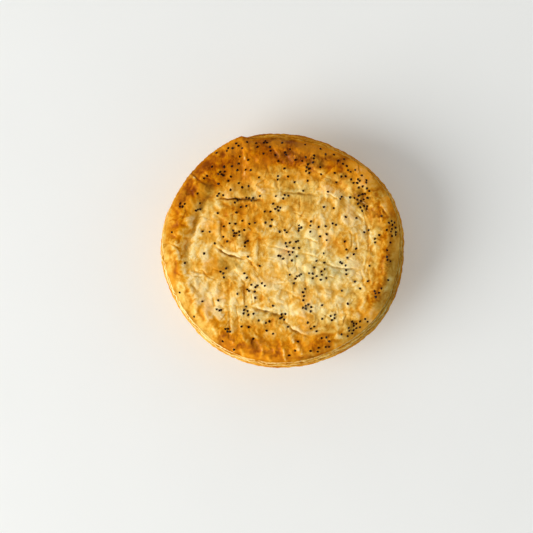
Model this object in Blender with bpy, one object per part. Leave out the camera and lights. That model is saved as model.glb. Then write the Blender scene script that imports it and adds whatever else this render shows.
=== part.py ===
"""A round beef pie: a tapered pastry case, a puffed and browned lid, and poppy seeds baked into it.

One closed solid, because an uncut pie is solid right through. The lid lies over the flat rim of the case, and
its layers show at the side. Every length is in millimetres, and MM turns it into Blender's metres where a mesh
is made. +Z is up, and the pie stands on z = 0 with its middle over the origin. Angles are in degrees from +X.
"""

import math

import bmesh
import bpy
import numpy as np
from mathutils import Matrix, Vector
from mathutils.bvhtree import BVHTree
from mathutils.geometry import delaunay_2d_cdt

MM = 0.001

# Driving dimensions
PIE_WIDTH = 120.0  # mean width across the rim of the case
BASE_WIDTH = 87.0  # across the foot of the tapered wall
FLAT_WIDTH = 80.0  # across the flat that the pie stands on
RIM_HEIGHT = 26.4  # underside of the case's rim
RIM_THICK = 2.6
LID_EDGE_HEIGHT = 32.4  # where the browned top turns down into the lid's layers
CROWN_HEIGHT = 36.0  # mean level of the lid

# The outline is a circle with a few low waves: (waves round the pie, cosine part, sine part)
OUTLINE_WAVES = ((2, 1.14, -0.31), (3, 0.25, 0.13), (4, 0.09, 0.12), (5, -0.43, 0.17), (7, -0.14, 0.07))
# How far the lid's top edge stands in from the rim, by angle; below zero it hangs over
LID_SETBACK = (
    (0, 3.2), (45, 1.8), (80, 3.2), (105, 2.4), (110, -0.7), (122, -0.1), (145, 0.2), (180, 1.8), (225, 2.6),
    (270, 3.2), (315, 4.2), (360, 3.2),
)  # fmt: skip

# The lid's broad form, by share of the way from the middle to the lid's edge
CREST_AT, CREST_SPREAD, CREST_RISE = 0.865, 0.075, 0.9
VALLEY_AT, VALLEY_SHIFT, VALLEY_SPREAD, VALLEY_DEPTH = 0.755, -0.045, 0.062, 0.8
# Where the valley inside the rim runs deeper or shallower: (angle, spread, added depth)
VALLEY_CHANGES = ((168, 24, 0.2), (33, 18, 0.8), (225, 25, -0.5))
DOME_RISE = 1.3
SHOULDER_FROM, SHOULDER_DROP = 0.88, 4.2

# Creases and flake edges: start x, y, end x, y, bow to the left, depth, width, and then the sheet on their left:
# how high it stands and how far it reaches. A ridge has a depth below zero.
FOLDS = {
    "left valley": (-37.2, 27.4, -49.6, -4.5, -0.6, 1.9, 2.6, 0.6, 5.0),
    "upper slit": (-33.4, 25.6, -9.8, 25.0, 0.2, 1.6, 0.8, 0.5, 3.0),
    "sheet above the slit": (-21.3, 33.8, -9.3, 27.4, 0.3, 0.2, 0.8, 0.5, 5.0),
    "upper crease": (-1.4, 28.6, 18.0, 26.8, 0.5, 0.7, 0.9, 0.3, 4.0),
    "left crack": (-34.4, 2.8, -17.4, -3.9, -2.0, 1.0, 0.9, 0.6, 4.0),
    "ragged edge": (-18.2, -3.7, -12.8, -10.6, 0.5, 0.4, 0.7, 0.5, 4.0),
    "browned sheet's edge": (-13.2, -9.5, -12.4, 12.0, -0.4, 0.2, 1.0, 0.5, 6.0),
    "right crack": (20.4, -5.8, 36.9, -8.4, -1.8, 0.8, 0.9, 0.5, 4.0),
    "right ridge": (33.0, -10.4, 40.8, -20.8, 1.1, -0.6, 1.3, 0.0, 1.0),
    "lower crease": (-16.8, -27.6, 1.8, -32.8, -0.5, 0.9, 1.3, 0.5, 4.0),
    "lower fold": (-0.2, -33.4, 13.8, -42.8, -2.0, 0.7, 1.1, 0.5, 4.0),
    "long groove": (-27.3, -11.8, -26.6, -47.9, 0.5, 0.4, 1.2, 0.5, 3.0),
    "step beside the groove": (-19.4, -27.4, -19.4, -15.8, 0.2, 0.3, 1.0, 0.6, 5.0),
    "middle crease": (-8.2, 2.8, 8.8, -1.6, -0.3, 0.6, 0.9, 0.4, 4.0),
    "top groove": (-20.4, 53.5, -20.4, 33.4, 0.3, 0.5, 1.6, 0.6, 3.5),
    "slanting groove": (-10.3, 46.4, -5.8, 35.4, 0.2, 0.5, 1.3, 0.2, 4.0),
    "top flake": (-7.8, 52.5, -1.8, 46.2, 0.2, 0.2, 0.8, 0.5, 4.0),
    "top right flake": (8.2, 44.8, 30.8, 33.0, -1.3, 0.2, 0.9, 0.6, 6.0),
    "rim crack": (-41.6, 34.4, -46.8, 39.4, 0.0, 0.8, 0.8, 0.5, 3.0),
    "left flake": (-40.6, 36.6, -29.4, 31.4, 0.8, 0.2, 0.8, 0.5, 5.0),
    "torn sheet, left": (-50.6, -4.6, -56.6, 3.4, -1.6, 0.4, 0.8, 0.6, 6.0),
    "torn sheet, right": (38.4, 37.2, 37.2, 45.2, 0.3, 0.6, 0.8, 0.6, 5.0),
    "corner crease": (33.2, 28.0, 42.8, 18.2, 1.0, 0.8, 1.1, 0.4, 4.0),
    "rim crease": (47.0, 22.4, 52.2, 16.0, 0.4, 0.7, 0.9, 0.3, 3.0),
    "right wrinkle": (40.0, 17.8, 42.6, 0.2, 0.8, 0.5, 1.0, 0.3, 3.0),
    "left crease": (-45.8, -9.6, -35.8, -11.6, -0.5, 0.5, 1.0, 0.4, 4.0),
    "pale hollow": (-47.2, -14.4, -39.0, -23.0, -0.4, 0.5, 1.6, 0.2, 4.0),
    "lower right ridge": (31.3, -23.6, 32.4, -31.4, 0.3, -0.6, 1.4, 0.0, 1.0),
    "outer ridge": (40.6, -21.4, 37.2, -30.4, 0.5, -0.6, 1.3, 0.0, 1.0),
    "edge ridge": (41.9, -28.9, 43.9, -37.4, 0.3, -0.5, 1.4, 0.0, 1.0),
    "inner ridge": (26.4, -33.9, 27.4, -44.4, 0.3, -0.6, 1.4, 0.0, 1.0),
    "near ridge 1": (-25.9, -44.4, -24.2, -51.6, 0.3, -0.9, 1.4, 0.0, 1.0),
    "near ridge 2": (-20.6, -48.6, -20.2, -54.0, 0.2, -0.8, 1.1, 0.0, 1.0),
    "near ridge 3": (-12.7, -44.8, -12.0, -54.2, 1.9, -1.0, 1.2, 0.0, 1.0),
    "near ridge 4": (-15.0, -41.6, -5.4, -48.6, -0.4, -0.8, 1.2, 0.0, 1.0),
    "near ridge 5": (-7.4, -51.2, -6.8, -56.2, 0.0, -0.8, 1.1, 0.0, 1.0),
    "near ridge 6": (-1.2, -44.8, 1.5, -56.0, -0.3, -1.1, 1.2, 0.0, 1.0),
    "near ridge 7": (3.4, -41.8, 10.2, -52.6, -0.7, -1.2, 1.9, 0.0, 1.0),
}

# Blisters where the sheets puffed up: x, y, half width, half depth, rise
BLISTERS = (
    (-20.8, 11.3, 9.0, 11.0, 0.9), (-38.9, -2.3, 5.0, 8.0, 0.6), (-33.9, -24.8, 6.0, 6.0, 0.7),
    (-23.0, -20.8, 3.0, 6.0, 0.5), (-8.8, -19.8, 7.0, 6.0, 0.6), (8.8, -26.0, 8.0, 5.0, 0.6),
    (23.8, -22.0, 7.0, 7.0, 0.5), (31.4, 5.3, 6.0, 7.0, 0.5), (13.8, 17.8, 9.0, 7.0, 0.4),
    (-1.3, 36.4, 7.0, 4.0, 0.6), (18.8, 32.9, 7.0, 4.0, 0.5), (-15.3, 40.4, 4.0, 7.0, 0.6),
)  # fmt: skip

# Uneven swelling of the whole lid: (size of a swelling, height)
SWELLINGS = ((13.0, 0.55), (5.5, 0.3))

# Poppy seeds
SEED_LENGTH, SEED_BREADTH, SEED_THICK = 1.36, 1.12, 1.0
SEED_COUNT = 370
FUSED_SEEDS = 180  # the largest ones, which are the ones fused on here
SEED_LIFT = 0.12  # how high a seed's middle lies above the crust
SEED_DRAW = 4
WIDE_GAP, CLOSE_GAP = 1.6, 1.05  # least distance between seeds: among the largest ones, and among the rest
# Where the seeds lie in clumps, then where they merely fell thicker: x, y, spread, number of seeds
SEED_CLUMPS = (
    (-50.8, 21.8, 0.9, 4), (-42.2, 20.3, 0.6, 3), (-22.8, 25.2, 0.6, 3), (-15.5, 25.4, 1.2, 5),
    (-3.3, 20.5, 0.7, 4), (-24.0, 7.7, 1.4, 7), (-9.5, 54.0, 0.9, 3), (1.0, 27.2, 0.6, 3),
    (38.0, 32.0, 1.8, 9), (37.9, 25.9, 1.5, 8), (40.4, 21.8, 0.8, 3), (54.7, 11.5, 1.9, 8),
    (19.7, 9.7, 2.4, 6), (7.9, 11.2, 0.5, 3), (-29.1, -10.0, 1.2, 3), (-31.8, -29.5, 0.8, 3),
    (-17.1, -20.5, 1.8, 5), (-18.5, -30.3, 1.0, 5), (-27.6, -40.0, 1.8, 4), (-0.8, -32.8, 1.2, 5),
    (8.0, -12.2, 0.5, 3), (18.0, -11.5, 2.8, 8), (30.0, -8.2, 0.8, 3), (12.6, -28.3, 1.3, 6),
    (24.0, -33.0, 1.2, 4), (38.0, -36.0, 2.0, 8), (33.5, -43.0, 1.8, 6), (19.5, -45.0, 2.2, 8),
    (46.4, -21.0, 0.7, 3), (51.8, -3.9, 1.0, 3), (-20.0, 50.0, 8.0, 14), (12.0, 50.0, 9.0, 18),
    (-26.0, 38.0, 6.0, 12), (30.0, 40.0, 6.0, 8), (-20.0, 15.0, 5.0, 9), (6.0, 3.0, 5.0, 9),
)  # fmt: skip
# Elsewhere they thin out towards this angle, down to this share
SPARSE_ANGLE, SPARSE_SHARE = 200, 0.22

# How finely the solid is faceted
ROUND_STEPS = 96
LID_RINGS = (0.70, 0.755, 0.81, 0.865, 0.915, 0.96)
INNER_SPACING = 3.1
FOLD_SPACING = 2.8


def lattice_noise(x, y, size, draw):
    """Smooth noise from about -1 to 1, with swells of this size. The same draw gives the same noise."""
    cells = 64
    turn = np.random.default_rng(draw).uniform(0, 2 * math.pi, (cells, cells))
    across, up = x / size + cells / 2, y / size + cells / 2
    left, low = np.floor(across).astype(int), np.floor(up).astype(int)
    fx, fy = across - left, up - low

    def corner(i, j):
        angle = turn[(left + i) % cells, (low + j) % cells]
        return np.cos(angle) * (fx - i) + np.sin(angle) * (fy - j)

    sx, sy = (f * f * f * (f * (6 * f - 15) + 10) for f in (fx, fy))
    near = corner(0, 0) * (1 - sx) + corner(1, 0) * sx
    far = corner(0, 1) * (1 - sx) + corner(1, 1) * sx
    return 1.5 * (near * (1 - sy) + far * sy)


def smooth_step(value):
    value = np.clip(value, 0.0, 1.0)
    return value * value * (3 - 2 * value)


def angle_gap(degrees, middle):
    """Degrees from middle, from -180 to 180."""
    return (degrees - middle + 180) % 360 - 180


def rim_radius(degrees):
    """The case's rim, seen from above."""
    a = np.radians(degrees)
    waves = sum(c * np.cos(n * a) + s * np.sin(n * a) for n, c, s in OUTLINE_WAVES)
    return PIE_WIDTH / 2 + waves


def setback(degrees):
    angles, distances = zip(*LID_SETBACK)
    return np.interp(np.mod(degrees, 360), angles, distances)


def lid_radius(degrees):
    """The edge of the lid's browned top, seen from above."""
    return rim_radius(degrees) - setback(degrees)


def fold_path(fold, steps):
    """Points along a fold, and the direction of its left-hand side."""
    start, end, bow = np.array(fold[0:2]), np.array(fold[2:4]), fold[4]
    run = end - start
    left = np.array((-run[1], run[0])) / np.hypot(*run)
    t = np.linspace(0, 1, steps)[:, None]
    return start + t * run + 4 * t * (1 - t) * bow * left, left


def fold_relief(x, y, fold):
    """How far a fold lifts the lid at x, y: a groove along its path, and a raised sheet on its left."""
    start_x, start_y, end_x, end_y, bow, depth, width, lip, reach = fold
    length = math.hypot(end_x - start_x, end_y - start_y)
    run_x, run_y = (end_x - start_x) / length, (end_y - start_y) / length
    along = np.clip(((x - start_x) * run_x + (y - start_y) * run_y) / length, 0, 1)
    across = (y - start_y) * run_x - (x - start_x) * run_y - 4 * along * (1 - along) * bow
    groove = -depth * np.exp(-((across / width) ** 2))
    sheet = lip * smooth_step(0.5 + across / width) * np.exp(-np.maximum(across, 0) / reach)
    return np.sqrt(np.abs(np.sin(math.pi * along))) * (groove + sheet)


def lid_height(x, y):
    """Height of the lid's top above the table, at points x, y inside its edge."""
    degrees = np.degrees(np.arctan2(y, x))
    share = np.hypot(x, y) / lid_radius(degrees)
    valley_at = VALLEY_AT + VALLEY_SHIFT * np.cos(np.radians(degrees))
    depth = VALLEY_DEPTH + sum(
        more * np.exp(-((angle_gap(degrees, middle) / spread) ** 2)) for middle, spread, more in VALLEY_CHANGES
    )
    height = CROWN_HEIGHT + DOME_RISE * (1 - smooth_step(share / 0.75))
    height += CREST_RISE * np.exp(-(((share - CREST_AT) / CREST_SPREAD) ** 2))
    height -= depth * np.exp(-(((share - valley_at) / VALLEY_SPREAD) ** 2))
    height -= SHOULDER_DROP * np.clip((share - SHOULDER_FROM) / (1 - SHOULDER_FROM), 0, 1) ** 2
    for fold in FOLDS.values():
        height += fold_relief(x, y, fold)
    for bx, by, half_width, half_depth, rise in BLISTERS:
        height += rise * np.exp(-(((x - bx) / half_width) ** 2) - ((y - by) / half_depth) ** 2)
    calm = 1 - smooth_step((share - 0.9) / 0.1)  # the edge keeps its level
    for draw, (size, rise) in enumerate(SWELLINGS):
        height += rise * calm * lattice_noise(x, y, size, draw)
    return height


def edge_height(degrees):
    """Where the browned top turns down: it wanders a little round the pie."""
    a = np.radians(degrees)
    return LID_EDGE_HEIGHT + 0.35 * np.sin(3 * a + 0.6) + 0.25 * np.sin(7 * a)


def side_rings():
    """(radius, height) by angle for each ring of the side, from the lid's edge down to the flat foot."""
    degrees = np.arange(ROUND_STEPS) * 360 / ROUND_STEPS
    rim, lid, top = rim_radius(degrees), lid_radius(degrees), edge_height(degrees)
    a = np.radians(degrees)
    rough = 0.35 * np.sin(11 * a + 1.0) + 0.25 * np.sin(17 * a)
    layers = np.minimum(lid + 0.55 * (rim - lid), rim - 0.5)
    rim_top = RIM_HEIGHT + RIM_THICK
    wall_top = rim - 3.4
    yield lid, top
    yield layers + 0.5 * rough, 0.55 * top + 0.45 * rim_top
    yield rim - 1.1 - 0.5 * rough, rim_top + 0.7 + 0 * a
    yield rim - 2.1, rim_top + 0.1 + 0 * a
    yield rim - 0.5, rim_top - 0.5 + 0.3 * rough
    yield rim, RIM_HEIGHT + 0.45 * RIM_THICK + 0.2 * rough
    yield rim - 0.7, RIM_HEIGHT + 0 * a
    yield wall_top, RIM_HEIGHT - 0.6 + 0 * a
    for share, swell in ((0.36, 0.35), (0.70, 0.2), (0.95, 0.0)):
        wall = wall_top + share * (BASE_WIDTH / 2 - wall_top)
        yield wall + swell + 0.3 * rough * (1 - share), RIM_HEIGHT * (1 - share) + 0 * a
    yield FLAT_WIDTH / 2 + 0 * a, 0 * a


def lid_points():
    """Points over the lid: rings near its edge, a hexagonal scatter inside, and rows along each fold."""
    degrees = (np.arange(ROUND_STEPS) + 0.5) * 360 / ROUND_STEPS
    rings = []
    for number, share in enumerate(LID_RINGS):
        turned = degrees + (number % 2) * 180 / ROUND_STEPS
        a, r = np.radians(turned), share * lid_radius(turned)
        rings.append(np.column_stack((r * np.cos(a), r * np.sin(a))))
    rows = []
    for fold in FOLDS.values():
        length = math.hypot(fold[2] - fold[0], fold[3] - fold[1])
        points, left = fold_path(fold, max(3, round(length / FOLD_SPACING)))
        rows += [points + across * fold[6] * left for across in (-1.1, 0, 1.1)]
    half = PIE_WIDTH / 2
    grid_x, grid_y = np.meshgrid(
        np.arange(-half, half, INNER_SPACING), np.arange(-half, half, INNER_SPACING * math.sqrt(3) / 2)
    )
    grid_x[::2] += INNER_SPACING / 2
    scatter = np.column_stack((grid_x.ravel(), grid_y.ravel()))
    return np.vstack(rows), np.vstack(rings), scatter


def thinned(groups, gap, most_share):
    """The groups' points in turn, without any outside the lid or nearer than gap to one before it."""
    kept = np.empty((0, 2))
    for points in groups:
        for point in points:
            share = np.hypot(*point) / lid_radius(math.degrees(math.atan2(point[1], point[0])))
            if share < most_share and (not len(kept) or np.hypot(*(kept - point).T).min() > gap):
                kept = np.vstack((kept, point))
    return kept


def crust_mesh():
    """The whole pie without its seeds, as a bmesh in millimetres."""
    rings = list(side_rings())
    degrees = np.arange(ROUND_STEPS) * 360 / ROUND_STEPS
    a = np.radians(degrees)
    edge = np.column_stack((rings[0][0] * np.cos(a), rings[0][0] * np.sin(a)))
    rows, inner_rings, scatter = lid_points()
    inside = thinned((rows, inner_rings, scatter), 1.5, 0.975)
    flat = np.vstack((edge, inside))
    loop = [(i, (i + 1) % ROUND_STEPS) for i in range(ROUND_STEPS)]
    made = delaunay_2d_cdt([Vector(p) for p in flat], loop, [], 1, 1e-4)
    height = np.concatenate((rings[0][1], lid_height(*inside.T)))
    bm = bmesh.new()
    place = {}
    for number, (point, origins) in enumerate(zip(made[0], made[3])):
        place[number] = bm.verts.new((point.x, point.y, height[origins[0]]))
    for triangle in made[2]:
        bm.faces.new([place[i] for i in triangle])
    upper = [place[next(n for n, origins in enumerate(made[3]) if i in origins)] for i in range(ROUND_STEPS)]
    for radius, level in rings[1:]:
        lower = [bm.verts.new(p) for p in zip(radius * np.cos(a), radius * np.sin(a), level)]
        for i in range(ROUND_STEPS):
            j = (i + 1) % ROUND_STEPS
            bm.faces.new((upper[i], lower[i], lower[j], upper[j]))
        upper = lower
    bm.faces.new(upper)
    bmesh.ops.recalc_face_normals(bm, faces=bm.faces)
    return bm


def seed_places():
    """x, y, size and turn of every seed, the largest first."""
    draw = np.random.default_rng(SEED_DRAW)
    seats = [clump[:3] for clump in SEED_CLUMPS for _ in range(clump[3])]
    seats += [(0, 0, 0)] * (SEED_COUNT - len(seats))
    placed = []
    for number, seat in enumerate(draw.permutation(SEED_COUNT)):
        gap = WIDE_GAP if number < FUSED_SEEDS else CLOSE_GAP
        placed.append(seed_place(draw, seats[seat], gap, placed))
    size = np.sort(draw.normal(1.0, 0.07, SEED_COUNT).clip(0.82, 1.18))[::-1]
    turn = draw.uniform(0, 2 * math.pi, SEED_COUNT)
    return np.column_stack((placed, size, turn))


def seed_place(draw, seat, gap, placed):
    """A free place for one seed: near its clump's middle, or anywhere if its seat is in no clump."""
    x, y, spread = seat
    while True:
        if spread:
            point = (x, y) + spread * draw.normal(size=2)
            spread *= 1.03
            wanted = True
        else:
            radius, degrees = PIE_WIDTH / 2 * math.sqrt(draw.random()), 360 * draw.random()
            thin = math.exp(-((angle_gap(degrees, SPARSE_ANGLE) / 60) ** 2)) * radius / (PIE_WIDTH / 2)
            point = radius * np.array((math.cos(math.radians(degrees)), math.sin(math.radians(degrees))))
            wanted = draw.random() < 1 - (1 - SPARSE_SHARE) * thin
        edge = lid_radius(math.degrees(math.atan2(point[1], point[0]))) - 1.5
        clear = all(math.hypot(point[0] - p[0], point[1] - p[1]) > gap for p in placed)
        if wanted and clear and math.hypot(*point) < edge:
            return point[0], point[1]


def seed_object(name, place, crust):
    """One seed, half sunk in the crust where it fell."""
    x, y, size, turn = place
    point, normal, _, _ = crust.ray_cast(Vector((x, y, 2 * CROWN_HEIGHT)), Vector((0, 0, -1)))
    bm = bmesh.new()
    bmesh.ops.create_icosphere(bm, subdivisions=1, radius=0.5)
    bm.transform(Matrix.Diagonal((SEED_LENGTH * size, SEED_BREADTH * size, SEED_THICK * size, 1)))
    lying = normal.to_track_quat("Z", "Y").to_matrix().to_4x4() @ Matrix.Rotation(turn, 4, "Z")
    bm.transform(Matrix.Translation(point + SEED_LIFT * normal) @ lying)
    return mesh_object(name, bm)


def mesh_object(name, bm):
    """Turns a bmesh in millimetres into an object in metres."""
    bm.transform(Matrix.Scale(MM, 4))
    mesh = bpy.data.meshes.new(name)
    bm.to_mesh(mesh)
    bm.free()
    return bpy.data.objects.new(name, mesh)


def crust_material():
    material = bpy.data.materials.new("baked pastry")
    material.use_nodes = True
    shader = material.node_tree.nodes["Principled BSDF"]
    shader.inputs["Base Color"].default_value = (0.66, 0.36, 0.09, 1)
    shader.inputs["Roughness"].default_value = 0.45
    return material


def fuse_seeds(pie, crust):
    """Joins the largest seeds to the pie by one union, and clears away the separate ones."""
    seeds = bpy.data.collections.new("seeds")
    bpy.context.scene.collection.children.link(seeds)
    for number, place in enumerate(seed_places()[:FUSED_SEEDS]):
        seeds.objects.link(seed_object(f"seed_{number}", place, crust))
    union = pie.modifiers.new("fused seeds", "BOOLEAN")
    union.operation = "UNION"
    union.operand_type = "COLLECTION"
    union.collection = seeds
    union.solver = "MANIFOLD"
    bpy.context.view_layer.update()
    graph = bpy.context.evaluated_depsgraph_get()
    fused = bpy.data.meshes.new_from_object(pie.evaluated_get(graph))
    pie.modifiers.remove(union)
    pie.data = fused
    for seed in list(seeds.objects):
        bpy.data.objects.remove(seed)
    bpy.data.collections.remove(seeds)


def centred(mesh):
    """Moves the mesh so that its box has its middle over the origin and its foot at z = 0."""
    points = np.array([v.co for v in mesh.vertices])
    low, high = points.min(axis=0), points.max(axis=0)
    mesh.transform(Matrix.Translation((-(low[0] + high[0]) / 2, -(low[1] + high[1]) / 2, -low[2])))


def main():
    for old in list(bpy.data.objects):
        bpy.data.objects.remove(old)
    bm = crust_mesh()
    crust = BVHTree.FromBMesh(bm)
    pie = mesh_object("pie", bm)
    bpy.context.scene.collection.objects.link(pie)
    pie.data.materials.append(crust_material())
    fuse_seeds(pie, crust)
    centred(pie.data)
    pie.data.shade_smooth()
    pie.data.set_sharp_from_angle(angle=math.radians(35))


main()
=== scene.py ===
"""The looks of a round beef pie: puffed flaky lid, its layers at the side, the case below, and poppy seeds.

Lengths are in millimetres until MM turns them into metres where a mesh is made. +Z is up, and angles are in
degrees from +X. The broad form is the one that the solid in the frame has. All finer form is worked out here.
"""

import math

import bmesh
import bpy
import numpy as np
from mathutils import Matrix, Vector
from mathutils.bvhtree import BVHTree


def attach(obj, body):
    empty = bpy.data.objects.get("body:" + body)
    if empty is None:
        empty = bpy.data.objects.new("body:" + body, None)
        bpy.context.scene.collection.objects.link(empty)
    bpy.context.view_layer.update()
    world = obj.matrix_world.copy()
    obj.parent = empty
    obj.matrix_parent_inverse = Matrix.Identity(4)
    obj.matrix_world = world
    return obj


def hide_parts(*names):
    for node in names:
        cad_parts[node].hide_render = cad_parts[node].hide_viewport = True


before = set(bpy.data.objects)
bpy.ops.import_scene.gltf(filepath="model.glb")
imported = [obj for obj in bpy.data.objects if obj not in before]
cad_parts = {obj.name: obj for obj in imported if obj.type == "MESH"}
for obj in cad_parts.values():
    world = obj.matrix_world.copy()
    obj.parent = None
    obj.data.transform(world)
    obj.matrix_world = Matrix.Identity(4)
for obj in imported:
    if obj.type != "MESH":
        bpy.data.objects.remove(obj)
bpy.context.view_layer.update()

MM = 0.001

# ---------------------------------------------------------------- broad form, as in the solid

PIE_WIDTH = 120.0
BASE_WIDTH = 87.0
FLAT_WIDTH = 80.0
RIM_HEIGHT = 26.4
RIM_THICK = 2.6
LID_EDGE_HEIGHT = 32.4
CROWN_HEIGHT = 36.0

# (waves round the pie, cosine part, sine part)
OUTLINE_WAVES = ((2, 1.14, -0.31), (3, 0.25, 0.13), (4, 0.09, 0.12), (5, -0.43, 0.17), (7, -0.14, 0.07))
# How far the lid's top edge stands in from the rim, by angle; below zero it hangs over
LID_SETBACK = (
    (0, 3.2), (45, 1.8), (80, 3.2), (105, 2.4), (110, -0.7), (122, -0.1), (145, 0.2), (180, 1.8), (225, 2.6),
    (270, 3.2), (315, 4.2), (360, 3.2),
)  # fmt: skip

# The raised rim, the valley inside it, the low dome and the rounded shoulder, by share of the way out
CREST_AT, CREST_SPREAD, CREST_RISE = 0.865, 0.075, 0.9
VALLEY_AT, VALLEY_SHIFT, VALLEY_SPREAD, VALLEY_DEPTH = 0.755, -0.045, 0.062, 0.8
# Where the valley runs deeper or, below zero, shallower: middle angle, spread, how much
VALLEY_CHANGES = ((168, 24, 0.2), (33, 18, 0.8), (225, 25, -0.5))
DOME_RISE, DOME_REACH = 1.3, 0.75
SHOULDER_FROM, SHOULDER_DROP = 0.88, 4.2

# Creases and flake edges: start x, y, end x, y, bow to the left, depth, width, lip on the left and the lip's
# reach. A depth below zero makes a ridge
FOLDS = {
    "left valley": (-37.2, 27.4, -49.6, -4.5, -0.6, 1.9, 2.6, 0.6, 5.0),
    "upper slit": (-33.4, 25.6, -9.8, 25.0, 0.2, 1.6, 0.8, 0.5, 3.0),
    "sheet above the slit": (-21.3, 33.8, -9.3, 27.4, 0.3, 0.2, 0.8, 0.5, 5.0),
    "upper crease": (-1.4, 28.6, 18.0, 26.8, 0.5, 0.7, 0.9, 0.3, 4.0),
    "left crack": (-34.4, 2.8, -17.4, -3.9, -2.0, 1.0, 0.9, 0.6, 4.0),
    "ragged edge": (-18.2, -3.7, -12.8, -10.6, 0.5, 0.4, 0.7, 0.5, 4.0),
    "browned sheet's edge": (-13.2, -9.5, -12.4, 12.0, -0.4, 0.2, 1.0, 0.5, 6.0),
    "right crack": (20.4, -5.8, 36.9, -8.4, -1.8, 0.8, 0.9, 0.5, 4.0),
    "right ridge": (33.0, -10.4, 40.8, -20.8, 1.1, -0.6, 1.3, 0.0, 1.0),
    "lower crease": (-16.8, -27.6, 1.8, -32.8, -0.5, 0.9, 1.3, 0.5, 4.0),
    "lower fold": (-0.2, -33.4, 13.8, -42.8, -2.0, 0.7, 1.1, 0.5, 4.0),
    "long groove": (-27.3, -11.8, -26.6, -47.9, 0.5, 0.4, 1.2, 0.5, 3.0),
    "step beside the groove": (-19.4, -27.4, -19.4, -15.8, 0.2, 0.3, 1.0, 0.6, 5.0),
    "middle crease": (-8.2, 2.8, 8.8, -1.6, -0.3, 0.6, 0.9, 0.4, 4.0),
    "top groove": (-20.4, 53.5, -20.4, 33.4, 0.3, 0.5, 1.6, 0.6, 3.5),
    "slanting groove": (-10.3, 46.4, -5.8, 35.4, 0.2, 0.5, 1.3, 0.2, 4.0),
    "top flake": (-7.8, 52.5, -1.8, 46.2, 0.2, 0.2, 0.8, 0.5, 4.0),
    "top right flake": (8.2, 44.8, 30.8, 33.0, -1.3, 0.2, 0.9, 0.6, 6.0),
    "rim crack": (-41.6, 34.4, -46.8, 39.4, 0.0, 0.8, 0.8, 0.5, 3.0),
    "left flake": (-40.6, 36.6, -29.4, 31.4, 0.8, 0.2, 0.8, 0.5, 5.0),
    "torn sheet, left": (-50.6, -4.6, -56.6, 3.4, -1.6, 0.4, 0.8, 0.6, 6.0),
    "torn sheet, right": (38.4, 37.2, 37.2, 45.2, 0.3, 0.6, 0.8, 0.6, 5.0),
    "corner crease": (33.2, 28.0, 42.8, 18.2, 1.0, 0.8, 1.1, 0.4, 4.0),
    "rim crease": (47.0, 22.4, 52.2, 16.0, 0.4, 0.7, 0.9, 0.3, 3.0),
    "right wrinkle": (40.0, 17.8, 42.6, 0.2, 0.8, 0.5, 1.0, 0.3, 3.0),
    "left crease": (-45.8, -9.6, -35.8, -11.6, -0.5, 0.5, 1.0, 0.4, 4.0),
    "pale hollow": (-47.2, -14.4, -39.0, -23.0, -0.4, 0.5, 1.6, 0.2, 4.0),
    "lower right ridge": (31.3, -23.6, 32.4, -31.4, 0.3, -0.6, 1.4, 0.0, 1.0),
    "outer ridge": (40.6, -21.4, 37.2, -30.4, 0.5, -0.6, 1.3, 0.0, 1.0),
    "edge ridge": (41.9, -28.9, 43.9, -37.4, 0.3, -0.5, 1.4, 0.0, 1.0),
    "inner ridge": (26.4, -33.9, 27.4, -44.4, 0.3, -0.6, 1.4, 0.0, 1.0),
    "near ridge 1": (-25.9, -44.4, -24.2, -51.6, 0.3, -0.9, 1.4, 0.0, 1.0),
    "near ridge 2": (-20.6, -48.6, -20.2, -54.0, 0.2, -0.8, 1.1, 0.0, 1.0),
    "near ridge 3": (-12.7, -44.8, -12.0, -54.2, 1.9, -1.0, 1.2, 0.0, 1.0),
    "near ridge 4": (-15.0, -41.6, -5.4, -48.6, -0.4, -0.8, 1.2, 0.0, 1.0),
    "near ridge 5": (-7.4, -51.2, -6.8, -56.2, 0.0, -0.8, 1.1, 0.0, 1.0),
    "near ridge 6": (-1.2, -44.8, 1.5, -56.0, -0.3, -1.1, 1.2, 0.0, 1.0),
    "near ridge 7": (3.4, -41.8, 10.2, -52.6, -0.7, -1.2, 1.9, 0.0, 1.0),
}

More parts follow.
